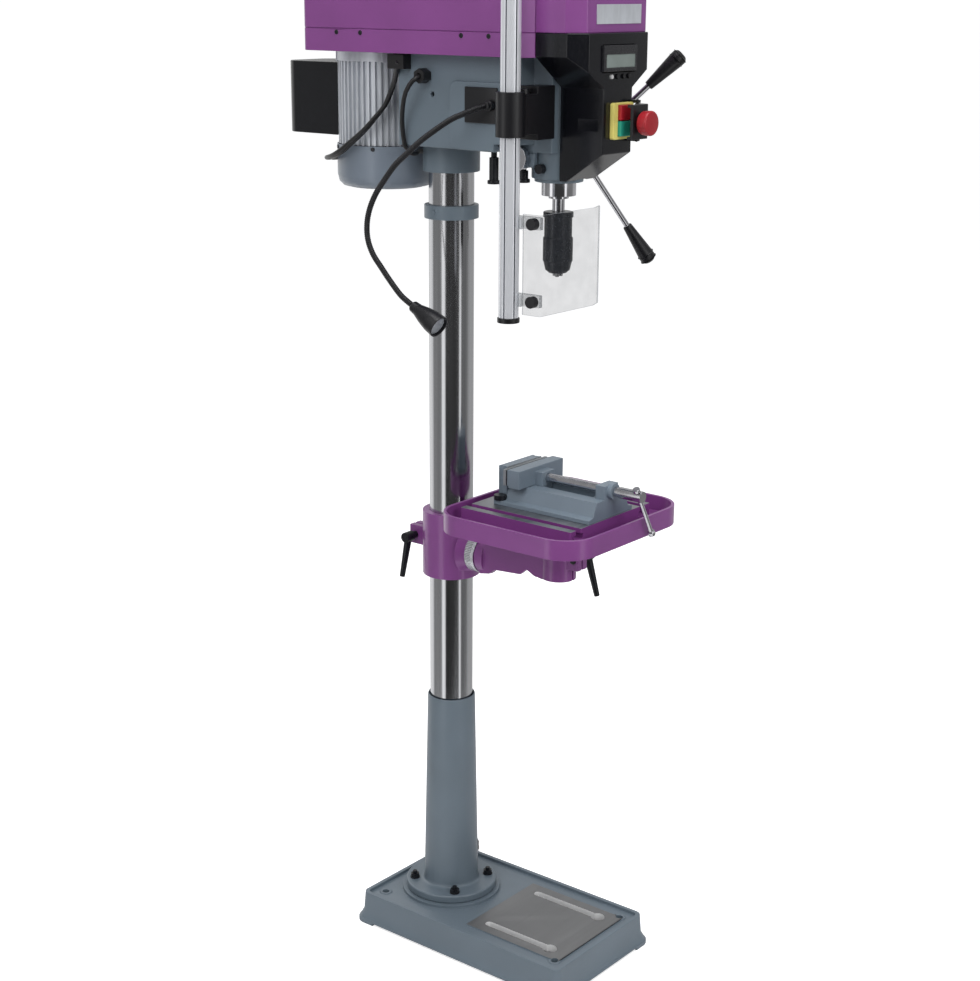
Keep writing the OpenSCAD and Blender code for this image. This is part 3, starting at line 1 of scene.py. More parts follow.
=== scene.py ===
# Dresses the pillar drill: soft edges and finishes on every part, the bent lamp neck and the mains lead.
import bpy
import json
import math
from mathutils import Matrix, Vector


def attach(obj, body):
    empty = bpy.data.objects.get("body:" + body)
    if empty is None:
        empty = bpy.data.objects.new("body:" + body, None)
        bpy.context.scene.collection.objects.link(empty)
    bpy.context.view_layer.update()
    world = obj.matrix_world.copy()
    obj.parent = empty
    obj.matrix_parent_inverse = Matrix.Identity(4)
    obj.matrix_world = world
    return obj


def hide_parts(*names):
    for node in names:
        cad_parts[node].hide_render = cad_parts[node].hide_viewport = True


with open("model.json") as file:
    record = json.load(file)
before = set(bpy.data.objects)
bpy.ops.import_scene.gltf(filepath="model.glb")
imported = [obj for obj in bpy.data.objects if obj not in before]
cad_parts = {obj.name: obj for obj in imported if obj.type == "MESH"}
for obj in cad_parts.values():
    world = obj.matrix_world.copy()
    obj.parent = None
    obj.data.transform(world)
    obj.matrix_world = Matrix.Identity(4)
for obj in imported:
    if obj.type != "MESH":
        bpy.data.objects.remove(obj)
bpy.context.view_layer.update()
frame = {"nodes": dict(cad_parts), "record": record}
record = frame["record"]
bodyOf = {name: body for body, names in record["behaviour"]["bodies"].items() for name in names}
mm = 0.001


def linear(red, green, blue):
    # screen colour from 0 to 255, as the shader wants it
    steps = [value / 255 for value in (red, green, blue)]
    return tuple(s / 12.92 if s < 0.04045 else ((s + 0.055) / 1.055) ** 2.4 for s in steps) + (1,)


def deselect():
    for thing in bpy.context.selected_objects:
        thing.select_set(False)


def pick(piece):
    deselect()
    piece.select_set(True)
    bpy.context.view_layer.objects.active = piece


# Camera, floor and light
cameraSet = {
    "place": (-2.43913, -2.04396, 1.75041),
    "yaw": -51.31,
    "down": 15.71,
    "roll": 0.35,
    "lens": 66.07,
}


def addCamera(s):
    yaw, down, roll = (math.radians(s[k]) for k in ("yaw", "down", "roll"))
    ahead = Vector((-math.sin(yaw) * math.cos(down), math.cos(yaw) * math.cos(down), -math.sin(down)))
    right = Vector((math.cos(yaw), math.sin(yaw), 0))
    up = right.cross(ahead)
    tilted = right * math.cos(roll) + up * math.sin(roll)
    raised = up * math.cos(roll) - right * math.sin(roll)
    lens = bpy.data.cameras.new("camera")
    lens.lens = s["lens"]
    lens.sensor_width = 36
    lens.sensor_fit = "AUTO"
    lens.clip_end = 600
    camera = bpy.data.objects.new("camera", lens)
    bpy.context.scene.collection.objects.link(camera)
    turn = Matrix((tilted, raised, -ahead)).transposed().to_4x4()
    turn.translation = Vector(s["place"])
    camera.matrix_world = turn
    bpy.context.scene.camera = camera


# A wire carries one value between shader nodes and takes part in sums
class Wire:
    def __init__(self, paint, socket):
        self.paint = paint
        self.socket = socket

    def __sub__(self, other):
        return self.paint.sum("SUBTRACT", self, other)

    def __rsub__(self, other):
        return self.paint.sum("SUBTRACT", other, self)

    def __mul__(self, other):
        return self.paint.sum("MULTIPLY", self, other)

    def __gt__(self, other):
        return self.paint.sum("GREATER_THAN", self, other)

    def __lt__(self, other):
        return self.paint.sum("LESS_THAN", self, other)

    __rmul__ = __mul__


class Paint:
    def __init__(self, name, **fixed):
        self.material = bpy.data.materials.new(name)
        self.material.use_nodes = True
        self.tree = self.material.node_tree
        self.shader = self.tree.nodes["Principled BSDF"]
        for key, value in fixed.items():
            self.shader.inputs[key.replace("_", " ")].default_value = value

    def feed(self, socket, value):
        if isinstance(value, Wire):
            self.tree.links.new(value.socket, socket)
        else:
            socket.default_value = value

    def add(self, kind, output=0, settings=None, **inputs):
        node = self.tree.nodes.new("ShaderNode" + kind)
        for key, value in (settings or {}).items():
            setattr(node, key, value)
        for key, value in inputs.items():
            byNumber = key[0] == "i" and key[1:].isdigit()
            self.feed(node.inputs[int(key[1:]) if byNumber else key.replace("_", " ")], value)
        return Wire(self, node.outputs[output])

    def sum(self, how, a, b):
        return self.add("Math", settings={"operation": how}, i0=a, i1=b)

    def place(self, scale=(1, 1, 1)):
        here = self.add("TexCoord", "Object")
        return self.add("Mapping", Vector=here, Scale=scale)

    def noise(self, scale, detail=3.0, stretch=(1, 1, 1)):
        return self.add("TexNoise", "Fac", Vector=self.place(stretch), Scale=scale, Detail=detail)

    def ramp(self, value, low, high, start=0.0, end=1.0):
        return self.add("MapRange", Value=value, From_Min=low, From_Max=high, To_Min=start, To_Max=end)

    def spread(self, noise, start=0.0, end=1.0):
        # the middle of a noise, where nearly all of it lies, over the whole of a range
        return self.ramp(noise, 0.3, 0.7, start, end)

    def blend(self, factor, first, second):
        node = self.tree.nodes.new("ShaderNodeMix")
        node.data_type = "RGBA"
        self.feed(node.inputs["Factor"], factor)
        self.feed(node.inputs[6], first)
        self.feed(node.inputs[7], second)
        return Wire(self, node.outputs[2])

    def bands(self, value, stops):
        node = self.tree.nodes.new("ShaderNodeValToRGB")
        ramp = node.color_ramp
        while len(ramp.elements) < len(stops):
            ramp.elements.new(0.5)
        for element, (where, level) in zip(ramp.elements, stops):
            element.position = where
            element.color = (level, level, level, 1)
        self.feed(node.inputs["Fac"], value)
        return Wire(self, node.outputs["Color"])

    def dents(self, height, depth, strength=1.0):
        return self.add("Bump", Height=height, Distance=depth, Strength=strength)

    def finish(self, colour=None, roughness=None, normal=None, alpha=None):
        links = {"Base Color": colour, "Roughness": roughness, "Normal": normal, "Alpha": alpha}
        for key, value in links.items():
            if value is not None:
                self.feed(self.shader.inputs[key], value)
        return self.material


def shade(colour, factor):
    return tuple(min(1, c * factor) for c in colour[:3]) + (1,)


# Paint on sheet metal and castings: fine orange peel, a little uneven in tone
def sprayed(name, colour, rough, peel, coat=0.0, grain=420):
    p = Paint(name, Coat_Weight=coat, Coat_Roughness=0.12)
    broad = p.noise(9, 2)
    fine = p.noise(grain, 2)
    tone = p.blend(p.spread(broad), shade(colour, 0.93), shade(colour, 1.05))
    return p.finish(tone, p.spread(fine, rough - 0.04, rough + 0.05), p.dents(fine, peel * mm))


# Ground or turned steel: fine lines along one direction
def machined(name, colour, rough, lines, strength, metallic=1.0, scale=90, dark=0.72):
    p = Paint(name, Metallic=metallic)
    drawn = p.noise(scale, 4, lines)
    broad = p.noise(14, 3)
    tone = p.blend(p.ramp(drawn, 0.3, 0.72), shade(colour, dark), colour)
    tone = p.blend(p.ramp(broad, 0.35, 0.7, 0.0, 0.35), tone, shade(colour, 0.86))
    return p.finish(tone, p.spread(drawn, rough - 0.06, rough + 0.08), p.dents(drawn, strength * mm))


# Moulded plastic and rubber: a fine spark texture
def moulded(name, colour, rough, depth, grain=900):
    p = Paint(name)
    fine = p.noise(grain, 2)
    broad = p.noise(20, 2)
    tone = p.blend(p.spread(broad), shade(colour, 0.85), shade(colour, 1.1))
    return p.finish(tone, p.spread(fine, rough - 0.05, rough + 0.06), p.dents(fine, depth * mm))


# Clear plastic: nearly nothing on its faces, pale where it is seen edge on
def clearSheet(name, colour, low, high, rough):
    p = Paint(name, IOR=1.4)
    smears = p.noise(30, 3)
    p.material.blend_method = "BLEND"
    return p.finish(colour, p.spread(smears, rough, rough + 0.06), None, p.spread(smears, low, high))


# The guard's tube: pale metal, its pale tone partly a painted reflection, with two thin dark bands down its outer
# side painted by the angle round its axis as a painted reflection
tubeSet = {
    "colour": linear(236, 238, 243),
    # colour of the two dark bands, a painted reflection
    "line": linear(30, 34, 48),
    "axis": (-0.150, -0.247),
    "stops": [(0.0, 0), (0.015, 0), (0.020, 1), (0.038, 1), (0.044, 0), (0.181, 0), (0.187, 1), (0.204, 1),
              (0.210, 0)],
}


def reflectionBanded(name, s):
    p = Paint(name, Metallic=0.45)
    here = p.add("TexCoord", "Object")
    east = p.add("SeparateXYZ", "X", Vector=here) - s["axis"][0]
    north = p.add("SeparateXYZ", "Y", Vector=here) - s["axis"][1]
    around = p.ramp(p.sum("ARCTAN2", north, east), -math.pi, math.pi)
    drawn = p.noise(60, 3, (1, 1, 0.02))
    metal = p.blend(p.spread(drawn), shade(s["colour"], 0.95), s["colour"])
    # painted reflection: dark bands laid over the metal by the angle round the axis
    tone = p.blend(p.bands(around, s["stops"]), metal, s["line"])
    return p.finish(tone, p.spread(drawn, 0.12, 0.2))


# The tilt scale: plain marks every few degrees round the arm's axis
scaleSet = {
    "colour": linear(216, 218, 222),
    "mark": linear(40, 40, 46),
    "height": 0.75,
    "end": -0.0735,
    "marks": 72,
    "share": 0.24,
}


def ticked(name, s):
    p = Paint(name, Metallic=0.5)
    here = p.add("TexCoord", "Object")
    up = p.add("SeparateXYZ", "Z", Vector=here) - s["height"]
    angle = p.sum("ARCTAN2", up, p.add("SeparateXYZ", "X", Vector=here))
    along = p.sum("FRACT", angle * (s["marks"] / 2 / math.pi), 0)
    behind = p.add("SeparateXYZ", "Y", Vector=here) > s["end"]
    smears = p.noise(60, 3)
    metal = p.blend(p.spread(smears), shade(s["colour"], 0.9), s["colour"])
    return p.finish(p.blend((along < s["share"]) * behind, metal, s["mark"]), p.spread(smears, 0.22, 0.34))


finish = {
    "purple": sprayed("purplePaint", linear(126, 64, 131), 0.34, 0.02, 0.35),
    "grey": sprayed("greyPaint", linear(101, 114, 124), 0.42, 0.05, 0.12, 260),
    "greyBlue": sprayed("greyBluePaint", linear(114, 124, 136), 0.38, 0.02, 0.25),
    "viseGrey": sprayed("viseCasting", linear(113, 126, 138), 0.44, 0.08, 0.1, 300),
    "column": machined("turnedColumn", linear(200, 201, 204), 0.17, (1, 1, 0.012), 0.004),
    "steel": machined("brightSteel", linear(190, 190, 192), 0.28, (0.15, 1, 1), 0.004),
    "panel": machined("groundPanel", linear(124, 125, 126), 0.38, (0.03, 1, 1), 0.006, 0.6, 120, 0.86),
    "topFace": machined("groundTable", linear(156, 158, 164), 0.34, (0.05, 1, 1), 0.01, 0.9, 120),
    "chrome": machined("chromeRod", linear(212, 212, 216), 0.12, (1, 1, 1), 0.001, 1.0, 60, 0.92),
    "tube": reflectionBanded("guardTubePaintedReflection", tubeSet),
    # slot walls painted near white: painted light in place of the shade inside the slots
    "paintedLightSlotWall": machined("paintedLightSlotWall", linear(236, 236, 236), 0.5, (1, 1, 1), 0.002, 0.1, 60, 0.95),
    "alloy": machined("castAlloy", linear(206, 210, 216), 0.34, (1, 1, 0.2), 0.01, 0.4, 140, 0.85),
    "oxide": machined("blackSteel", linear(24, 26, 32), 0.32, (1, 1, 1), 0.004, 0.25, 200, 0.7),
    "chuck": machined("blackChuck", linear(15, 17, 24), 0.22, (1, 1, 1), 0.001, 0.3, 200, 0.8),
    "scale": ticked("scaleRing", scaleSet),
    "black": moulded("blackPlastic", linear(17, 17, 21), 0.36, 0.01),
    "gloss": moulded("glossBlack", linear(14, 15, 20), 0.2, 0.001, 300),
    "rubber": moulded("cordRubber", linear(20, 20, 22), 0.42, 0.01),
    "yellow": moulded("yellowPlastic", linear(214, 202, 112), 0.38, 0.01),
    "green": moulded("greenPlastic", linear(34, 142, 122), 0.34, 0.01),
    "red": moulded("redPlastic", linear(158, 28, 38), 0.34, 0.01),
    "clear": clearSheet("clearSheet", linear(70, 73, 78), 0.15, 0.20, 0.08),
    "clearEdge": clearSheet("clearEdge", linear(168, 172, 176), 0.5, 0.62, 0.25),
    "glass": clearSheet("lampGlass", linear(150, 154, 160), 0.75, 0.85, 0.12),
    "jawSteel": machined("groundJaw", linear(170, 174, 178), 0.46, (0.15, 1, 1), 0.006, 0.8),
    "screen": moulded("screenGlass", linear(122, 132, 128), 0.18, 0.002),
    "bezel": moulded("bezelPlastic", linear(40, 40, 43), 0.26, 0.01),
    "keyWhite": moulded("keyPlastic", linear(190, 190, 190), 0.4, 0.01),
    "copper": moulded("windings", linear(120, 66, 34), 0.4, 0.05),
}
print("finishes:", len(finish))


stageSet = {
    "size": 500,
    "floor": (0.86, 0.86, 0.86, 1),
    "glow": 0.68,
    "sky": (0.39, 0.394, 0.405, 1),
    "seenSky": (1, 1, 1, 1),
}


# A pale floor and sky that the camera sees as white
def addStage(s):
    bpy.ops.mesh.primitive_plane_add(size=s["size"], location=(0, 0, 0))
    floor = bpy.context.object
    floor.name = "floor"
    p = Paint("paleFloor", Roughness=0.9, Base_Color=s["floor"], Specular_IOR_Level=0.1)
    seen = p.add("LightPath", "Is Camera Ray")
    p.feed(p.shader.inputs["Emission Color"], (1, 1, 1, 1))
    p.feed(p.shader.inputs["Emission Strength"], seen * s["glow"])
    floor.data.materials.append(p.material)
    world = bpy.data.worlds.new("studio")
    bpy.context.scene.world = world
    world.use_nodes = True
    tree = world.node_tree
    path = tree.nodes.new("ShaderNodeLightPath")
    sky = tree.nodes.new("ShaderNodeMix")
    sky.data_type = "RGBA"
    sky.inputs[6].default_value = s["sky"]
    sky.inputs[7].default_value = s["seenSky"]
    tree.links.new(path.outputs["Is Camera Ray"], sky.inputs["Factor"])
    tree.links.new(sky.outputs[2], tree.nodes["Background"].inputs["Color"])


# What bright metal mirrors: a ring of light and dark cards that no other ray sees
wallSet = {
    "radius": 0.95,
    "top": 2.4,
    "strength": 1.5,
    "cards": [(0.0, 0.98), (0.016, 0.9), (0.03, 0.03), (0.216, 0.04), (0.226, 0.9), (0.242, 0.9), (0.257, 0.14),
              (0.352, 0.16), (0.378, 0.32), (0.60, 0.36), (0.62, 0.26), (0.665, 0.3), (0.69, 0.75), (0.80, 0.66),
              (0.825, 0.2), (0.962, 0.2), (0.980, 1.0), (0.999, 0.98)],
}


def addWall(s):
    deselect()
    bpy.ops.mesh.primitive_cylinder_add(vertices=128, radius=s["radius"], depth=s["top"], end_fill_type="NOTHING",
                                        location=(0, 0, s["top"] / 2))
    wall = bpy.context.object
    wall.name = "reflectionWall"
    p = Paint("cardLight", Base_Color=(0, 0, 0, 1), Specular_IOR_Level=0.0, Emission_Strength=s["strength"])
    here = p.add("TexCoord", "Object")
    angle = p.sum("ARCTAN2", p.add("SeparateXYZ", "Y", Vector=here), p.add("SeparateXYZ", "X", Vector=here))
    p.feed(p.shader.inputs["Emission Color"], p.bands(p.ramp(angle, -math.pi, math.pi), s["cards"]))
    wall.data.materials.append(p.material)
    for ray in ("camera", "diffuse", "shadow", "transmission", "volume_scatter"):
        setattr(wall, "visible_" + ray, False)


lampSet = {
    "keyLight": {"place": (-2.6, -0.4, 2.9), "aim": (0, 0, 1.0), "size": 1.6, "power": 32},
    "frontLight": {"place": (-0.6, -3.2, 2.2), "aim": (0, -0.1, 1.0), "size": 1.4, "power": 28},
    "backLight": {"place": (1.6, 2.4, 2.6), "aim": (0, 0, 1.2), "size": 1.6, "power": 26},
    "topLight": {"place": (-0.5, -0.8, 4.2), "aim": (0, -0.1, 0), "size": 2.2, "power": 66},
}


def addLamps(lamps):
    for name, s in lamps.items():
        lamp = bpy.data.lights.new(name, "AREA")
        lamp.size = s["size"]
        lamp.energy = s["power"]
        holder = bpy.data.objects.new(name, lamp)
        holder.location = s["place"]
        aim = Vector(s["aim"]) - Vector(s["place"])
        holder.rotation_mode = "QUATERNION"
        holder.rotation_quaternion = aim.to_track_quat("-Z", "Y")
        bpy.context.scene.collection.objects.link(holder)


bpy.context.scene.view_settings.view_transform = "Standard"
addCamera(cameraSet)
deselect()
addStage(stageSet)
addWall(wallSet)
addLamps(lampSet)
print("camera, floor and light")


# Softened copies of the CAD parts: flat faces joined, edges rounded, each face given its finish by its place
meshSet = {
    "merge": 0.004,
    "flat": 0.6,
}


def softened(node, finishes, edge=0.5, rule=None, steps=2, sharp=32):
    source = frame["nodes"][node]
    mesh = source.data.copy()
    piece = bpy.data.objects.new(node + "Form", mesh)
    bpy.context.scene.collection.objects.link(piece)
    mesh.materials.clear()
    for name in finishes:
        mesh.materials.append(finish[name])
    pick(piece)
    bpy.ops.object.mode_set(mode="EDIT")
    bpy.ops.mesh.select_all(action="SELECT")
    bpy.ops.mesh.remove_doubles(threshold=meshSet["merge"] * mm)
    bpy.ops.mesh.dissolve_limited(angle_limit=math.radians(meshSet["flat"]))
    bpy.ops.object.mode_set(mode="OBJECT")
    for face in mesh.polygons:
        face.material_index = rule(face.center / mm, face.normal) if rule else 0
    if edge:
        rounding = piece.modifiers.new("edges", "BEVEL")
        rounding.width = edge * mm
        rounding.segments = steps
        rounding.limit_method = "ANGLE"
        rounding.angle_limit = math.radians(sharp)
        rounding.use_clamp_overlap = False
        rounding.miter_outer = "MITER_ARC"
        bpy.ops.object.modifier_apply(modifier="edges")
    bpy.ops.object.shade_smooth_by_angle(angle=math.radians(sharp))
    facing = piece.modifiers.new("facing", "WEIGHTED_NORMAL")
    facing.keep_sharp = True
    bpy.ops.object.modifier_apply(modifier="facing")
    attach(piece, bodyOf[node])
    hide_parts(node)
    return piece


# Which of its part's finishes a face takes, by its centre in millimetres and its normal
def onPanel(c, n):
    # the machined face, and the walls of the slots in it, which are painted near white as painted light standing
    # in for the brightness seen through the slots
    if abs(abs(c.x) - 75) < 13 and abs(n.z) < 0.1 and 41 < c.z < 57 and -325 < c.y < -130:
        return 2
    return 1 if 56.2 < c.z < 57.5 and n.z > 0.9 and abs(c.x) < 103.5 and c.y < -120 else 0


def onScale(c, n):
    # the ring round the arm's axis
    return 1 if -80 < c.y < -58.4 and 33.04 < math.hypot(c.x, c.z - 750) < 36 else 0


def onTable(c, n):
    # the ground top
    return 1 if c.z > 871.7 and n.z > 0.9 else 0


def onJaw(c, n):
    # the steel plates that grip
    return 1 if -176.3 < c.y < -167.9 and c.z > 907.8 and abs(c.x) < 60.5 else 0


def onPan(c, n):
    # the seam's screws, the middle pulley's post and the lead's clip
    if c.x < -125.2:
        return 1
    if math.hypot(c.x, c.y + 41) < 23 and c.z > 1640.6:
        return 2
    return 3 if 104 < c.x < 120 and 88 < c.y < 102 and c.z < 1639 else 0


def onHub(c, n):
    # the painted hub outside the head
    return 1 if c.x > 99 else 0


def onGuard(c, n):
    # the end caps
    return 1 if c.z < 1226.01 or c.z > 1790.05 else 0


def onShield(c, n):
    # the sheet's rims and the two clamps
    clamp = c.y > -299.2 and -135.9 < c.x < -100 or math.hypot(c.x + 150, c.y + 247) < 23
    return 1 if clamp or abs(n.z) > 0.9 or c.x > 36 or c.y > -266.5 else 0


def onKeys(c, n):
    # the key on the left is pale
    return 1 if c.x < -14 else 0


def onSwitch(c, n):
    # the flap's hinge posts
    return 1 if c.x > 33.1 else 0


def onDisplay(c, n):
    # the screen
    return 1 if -38.9 < c.x < 40.9 and 1623.1 < c.z < 1643.9 and -353.1 < c.y < -351.9 else 0


def onFittings(c, n):
    # the round spring cap
    return 1 if c.x < -62 and c.z > 1450 and abs(c.y + 194) < 23 else 0


def onCrank(c, n):
    # the painted arm outside the bracket
    return 1 if c.x > 64 else 0


def onCowl(c, n):
    # the screws' heads round the rim
    return 1 if math.hypot(c.x, c.y - 152) > 88.05 else 0


def onPlug(c, n):
    # the pins
    return 1 if (c.x - 302) * 0.78 + (c.y - 224.6) * 0.625 > 42.4 else 0


def onBody(c, n):
    # the windings inside
    return 1 if math.hypot(c.x, c.y - 152) < 71.9 else 0


# Each part's finishes, the width of its rounded edges in millimetres, and its rule
dressing = {
    "base": (["grey", "panel", "paintedLightSlotWall"], 1.2, onPanel),
    "column_foot": (["grey"], 1.0, None),
    "foot_bolts": (["oxide"], 0.5, None),
    "column": (["column"], 0.6, None),
    "rack": (["steel"], 0.2, None),
    "rack_ring": (["grey"], 1.0, None),
    "table_bracket": (["purple", "scale"], 1.2, onScale),
    "tilt_bolt": (["oxide"], 0.5, None),
    "bracket_lock_lever": (["oxide"], 1.2, None),
    "crank": (["steel", "grey"], 0.4, onCrank),
    "crank_knob": (["black"], 1.0, None),
    "table_arm": (["purple"], 1.5, None),
    "table": (["purple", "topFace"], 1.0, onTable),
    "table_lock_lever": (["oxide"], 1.2, None),
    "vise_body": (["viseGrey", "jawSteel"], 0.6, onJaw),
    "vise_bolts": (["oxide"], 0.6, None),
    "vise_jaw": (["viseGrey", "jawSteel"], 1.0, onJaw),
    "vise_screw": (["chrome"], 0.4, None),
    "vise_bar": (["chrome"], 0.8, None),
    "head_casting": (["grey"], 1.5, None),
    "belt_pan": (["purple", "oxide", "alloy", "black"], 0.8, onPan),
    "belt_lid": (["purple"], 2.0, None),
    "front_cover": (["purple"], 1.6, None),
    "front_housing": (["gloss"], 1.6, None),
    "display": (["bezel", "screen"], 1.0, onDisplay),
    "display_keys": (["black", "keyWhite"], 0.5, onKeys),
    "switch_box": (["yellow", "black"], 0.8, onSwitch),
    "start_button": (["green"], 1.0, None),
    "stop_button": (["red"], 1.0, None),
    "stop_flap": (["black"], 0.8, None),
    "mushroom_button": (["red"], 0.8, None),
    "motor_body": (["alloy", "copper"], 0.4, onBody),
    "motor_cowl": (["greyBlue", "oxide"], 0.6, onCowl),
    "motor_rotor": (["steel"], 0.3, None),
    "terminal_box": (["gloss"], 1.5, None),
    "idler_pulley": (["alloy"], 0.4, None),
    "spindle_pulley": (["alloy"], 0.4, None),
    "drive_belts": (["rubber"], 0.5, None),
    "quill": (["chrome"], 0.6, None),
    "quill_bearings": (["steel"], 0.4, None),
    "spindle": (["chrome"], 0.5, None),
    "chuck_body": (["chuck"], 0.5, None),
    "chuck_sleeve": (["chuck"], 0.6, None),
    "chuck_jaw_a": (["steel"], 0.3, None),
    "chuck_jaw_b": (["steel"], 0.3, None),
    "chuck_jaw_c": (["steel"], 0.3, None),
    "feed_shaft": (["steel", "grey"], 0.8, onHub),
    "lever_rods": (["chrome"], 0.4, None),
    "lever_grips": (["black"], 1.5, None),
    "head_fittings": (["oxide", "chrome"], 0.8, onFittings),
    "guard_bracket": (["black"], 1.5, None),
    "guard_tube": (["tube", "black"], 0.6, onGuard),
    "clear_shield": (["clear", "clearEdge"], 0.3, onShield),
    "shield_knobs": (["black"], 1.0, None),
    "lamp_head": (["black"], 0.8, None),
    "motor_cables": (["rubber"], 0.3, None),
    "mains_plug": (["black", "steel"], 0.8, onPlug),
}
forms = {name: softened(name, *values) for name, values in dressing.items()}
print("softened parts:", len(forms))


# The mains lead: down from the head and the belt housing's clip, then wound up behind the column
def smoothPath(points, step):
    made = []
    for i in range(len(points) - 1):
        a, b, c, d = (Vector(points[j]) for j in (max(i - 1, 0), i, i + 1, min(i + 2, len(points) - 1)))
        count = max(1, round((c - b).length / step))
        for k in range(count):
            t = k / count
            curve = (c - a) * t + (2 * a - 5 * b + 4 * c - d) * t ** 2 + (3 * b - a - 3 * c + d) * t ** 3
            made.append(0.5 * (2 * b + curve))
    return made + [Vector(points[-1])]


leadSet = {
    "thick": 8,
    "run": [(-94, -22, 1602), (-111, -22, 1602), (-122, -17, 1594), (-123, -3, 1576), (-117, 9, 1552),
            (-108, 19, 1526), (-101, 23, 1502), (-97, 23, 1484), (-84, 22, 1471), (-62, 28, 1468), (-44, 41, 1468),
            (-24, 52, 1468), (0, 56.2, 1468), (25, 53, 1470), (48, 57, 1476), (62, 62, 1492), (70, 67, 1525),
            (77, 72, 1570), (86, 78, 1604), (98, 86, 1628), (112, 95, 1631.3), (128, 106, 1627), (144, 117, 1612),
            (153, 123, 1588), (156, 125, 1556)],
    "drop": [(156, 125, z) for z in (1300, 1000, 700, 400)],
    "foot": [(156, 125, 150), (156.5, 124.8, 70), (159, 123.5, 40), (166, 120.5, 16), (178, 116, 6.2),
             (187, 113.3, 4.4), (195, 113, 4.3)],
    "coilAt": (203, 163),
    "coilOut": 50,
    "coilStep": 9,
    "coilTurns": 2,
    "coilLow": 4.3,
    "coilRise": 8.8,
    "end": [(261, 184, 12), (272, 198, 10.5), (284, 209, 13), (295, 219, 17.3), (302, 224.6, 17.3)],
}


def coilPoints(s):
    wound = 360 * s["coilTurns"]
    inner = s["coilOut"] - s["coilStep"] * s["coilTurns"]
    made = []
    for t in range(0, 2 * wound + 91, 15):
        if t < wound:
            r, z = s["coilOut"] - s["coilStep"] * t / 360, s["coilLow"]
        elif t < wound + 90:
            r, z = inner, s["coilLow"] + s["coilRise"] * (t - wound) / 90
        else:
            r, z = inner + s["coilStep"] * (t - wound - 90) / 360, s["coilLow"] + s["coilRise"]
        angle = math.radians(270 + t)
        made.append((s["coilAt"][0] + r * math.cos(angle), s["coilAt"][1] + r * math.sin(angle), z))
    return made


def addLead(s):
    wound = coilPoints(s)
    last = Vector(wound[-1])
    after = [tuple(last + Vector((0, 5, 0))), tuple(last + Vector((1, 11, 0)))] + s["end"]
    points = smoothPath(s["run"], 14) + [Vector(p) for p in s["drop"]] + smoothPath(s["foot"], 14)
    points += [Vector(p) for p in wound + after]
    length = sum((b - a).length for a, b in zip(points, points[1:]))
    line = bpy.data.curves.new("mainsLead", "CURVE")
    line.dimensions = "3D"
    line.bevel_depth = s["thick"] / 2 * mm
    line.bevel_resolution = 4
    line.use_fill_caps = True
    spline = line.splines.new("POLY")
    spline.points.add(len(points) - 1)
    for knot, p in zip(spline.points, points):
        knot.co = (*(p * mm), 1)
    lead = bpy.data.objects.new("mainsLead", line)
    bpy.context.scene.collection.objects.link(lead)
    lead.data.materials.append(finish["rubber"])
    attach(lead, bodyOf["mains_lead"])
    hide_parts("mains_lead", "mains_coil")
    points[0] * mm
    round(length * mm, 4)
    print("mains lead, metres:", round(length * mm, 3))
    return lead


addLead(leadSet)


# Small pieces that the CAD parts leave to the finish
def settle(piece, node, finishName, sharp=35):
    pick(piece)
    bpy.ops.object.transform_apply(location=True, rotation=True, scale=True)
    bpy.ops.object.shade_smooth_by_angle(angle=math.radians(sharp))
    piece.data.materials.clear()
    piece.data.materials.append(finish[finishName])
    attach(piece, bodyOf[node])
    return piece


def roundEdges(piece, width, steps=3):
    rounding = piece.modifiers.new("edges", "BEVEL")
    rounding.width = width * mm
    rounding.segments = steps
    rounding.limit_method = "ANGLE"
    rounding.angle_limit = math.radians(30)
    pick(piece)
    bpy.ops.object.modifier_apply(modifier="edges")


def addBlock(name, low, high):
    low, high = Vector(low), Vector(high)
    deselect()
    bpy.ops.mesh.primitive_cube_add(size=1, location=(low + high) / 2 * mm)
    piece = bpy.context.object
    piece.name = name
    piece.scale = (high - low) * mm
    bpy.ops.object.transform_apply(location=True, rotation=True, scale=True)
    return piece


def addDisc(name, start, end, radius, sides=48):
    start, end = Vector(start), Vector(end)
    deselect()
    bpy.ops.mesh.primitive_cylinder_add(vertices=sides, radius=radius * mm, depth=(end - start).length * mm,
                                        location=(start + end) / 2 * mm,
                                        rotation=(end - start).to_track_quat("Z", "Y").to_euler())
    piece = bpy.context.object
    piece.name = name
    bpy.ops.object.transform_apply(location=True, rotation=True, scale=True)
    return piece


def selectFaces(piece, rule):
    bpy.ops.object.mode_set(mode="OBJECT")
    bpy.context.tool_settings.mesh_select_mode = (False, False, True)
    mesh = piece.data
    for face in mesh.polygons:
        face.select = rule(face.center / mm, face.normal)
    for edge in mesh.edges:
        edge.select = False
    for point in mesh.vertices:
        point.select = False
    for face in mesh.polygons:
        if face.select:
            for index in face.vertices:
                mesh.vertices[index].select = True
    bpy.ops.object.mode_set(mode="EDIT")


def join(name, *pieces):
    deselect()
    for piece in pieces:
        piece.select_set(True)
    bpy.context.view_layer.objects.active = pieces[0]
    bpy.ops.object.join()
    pieces[0].name = name
    return pieces[0]


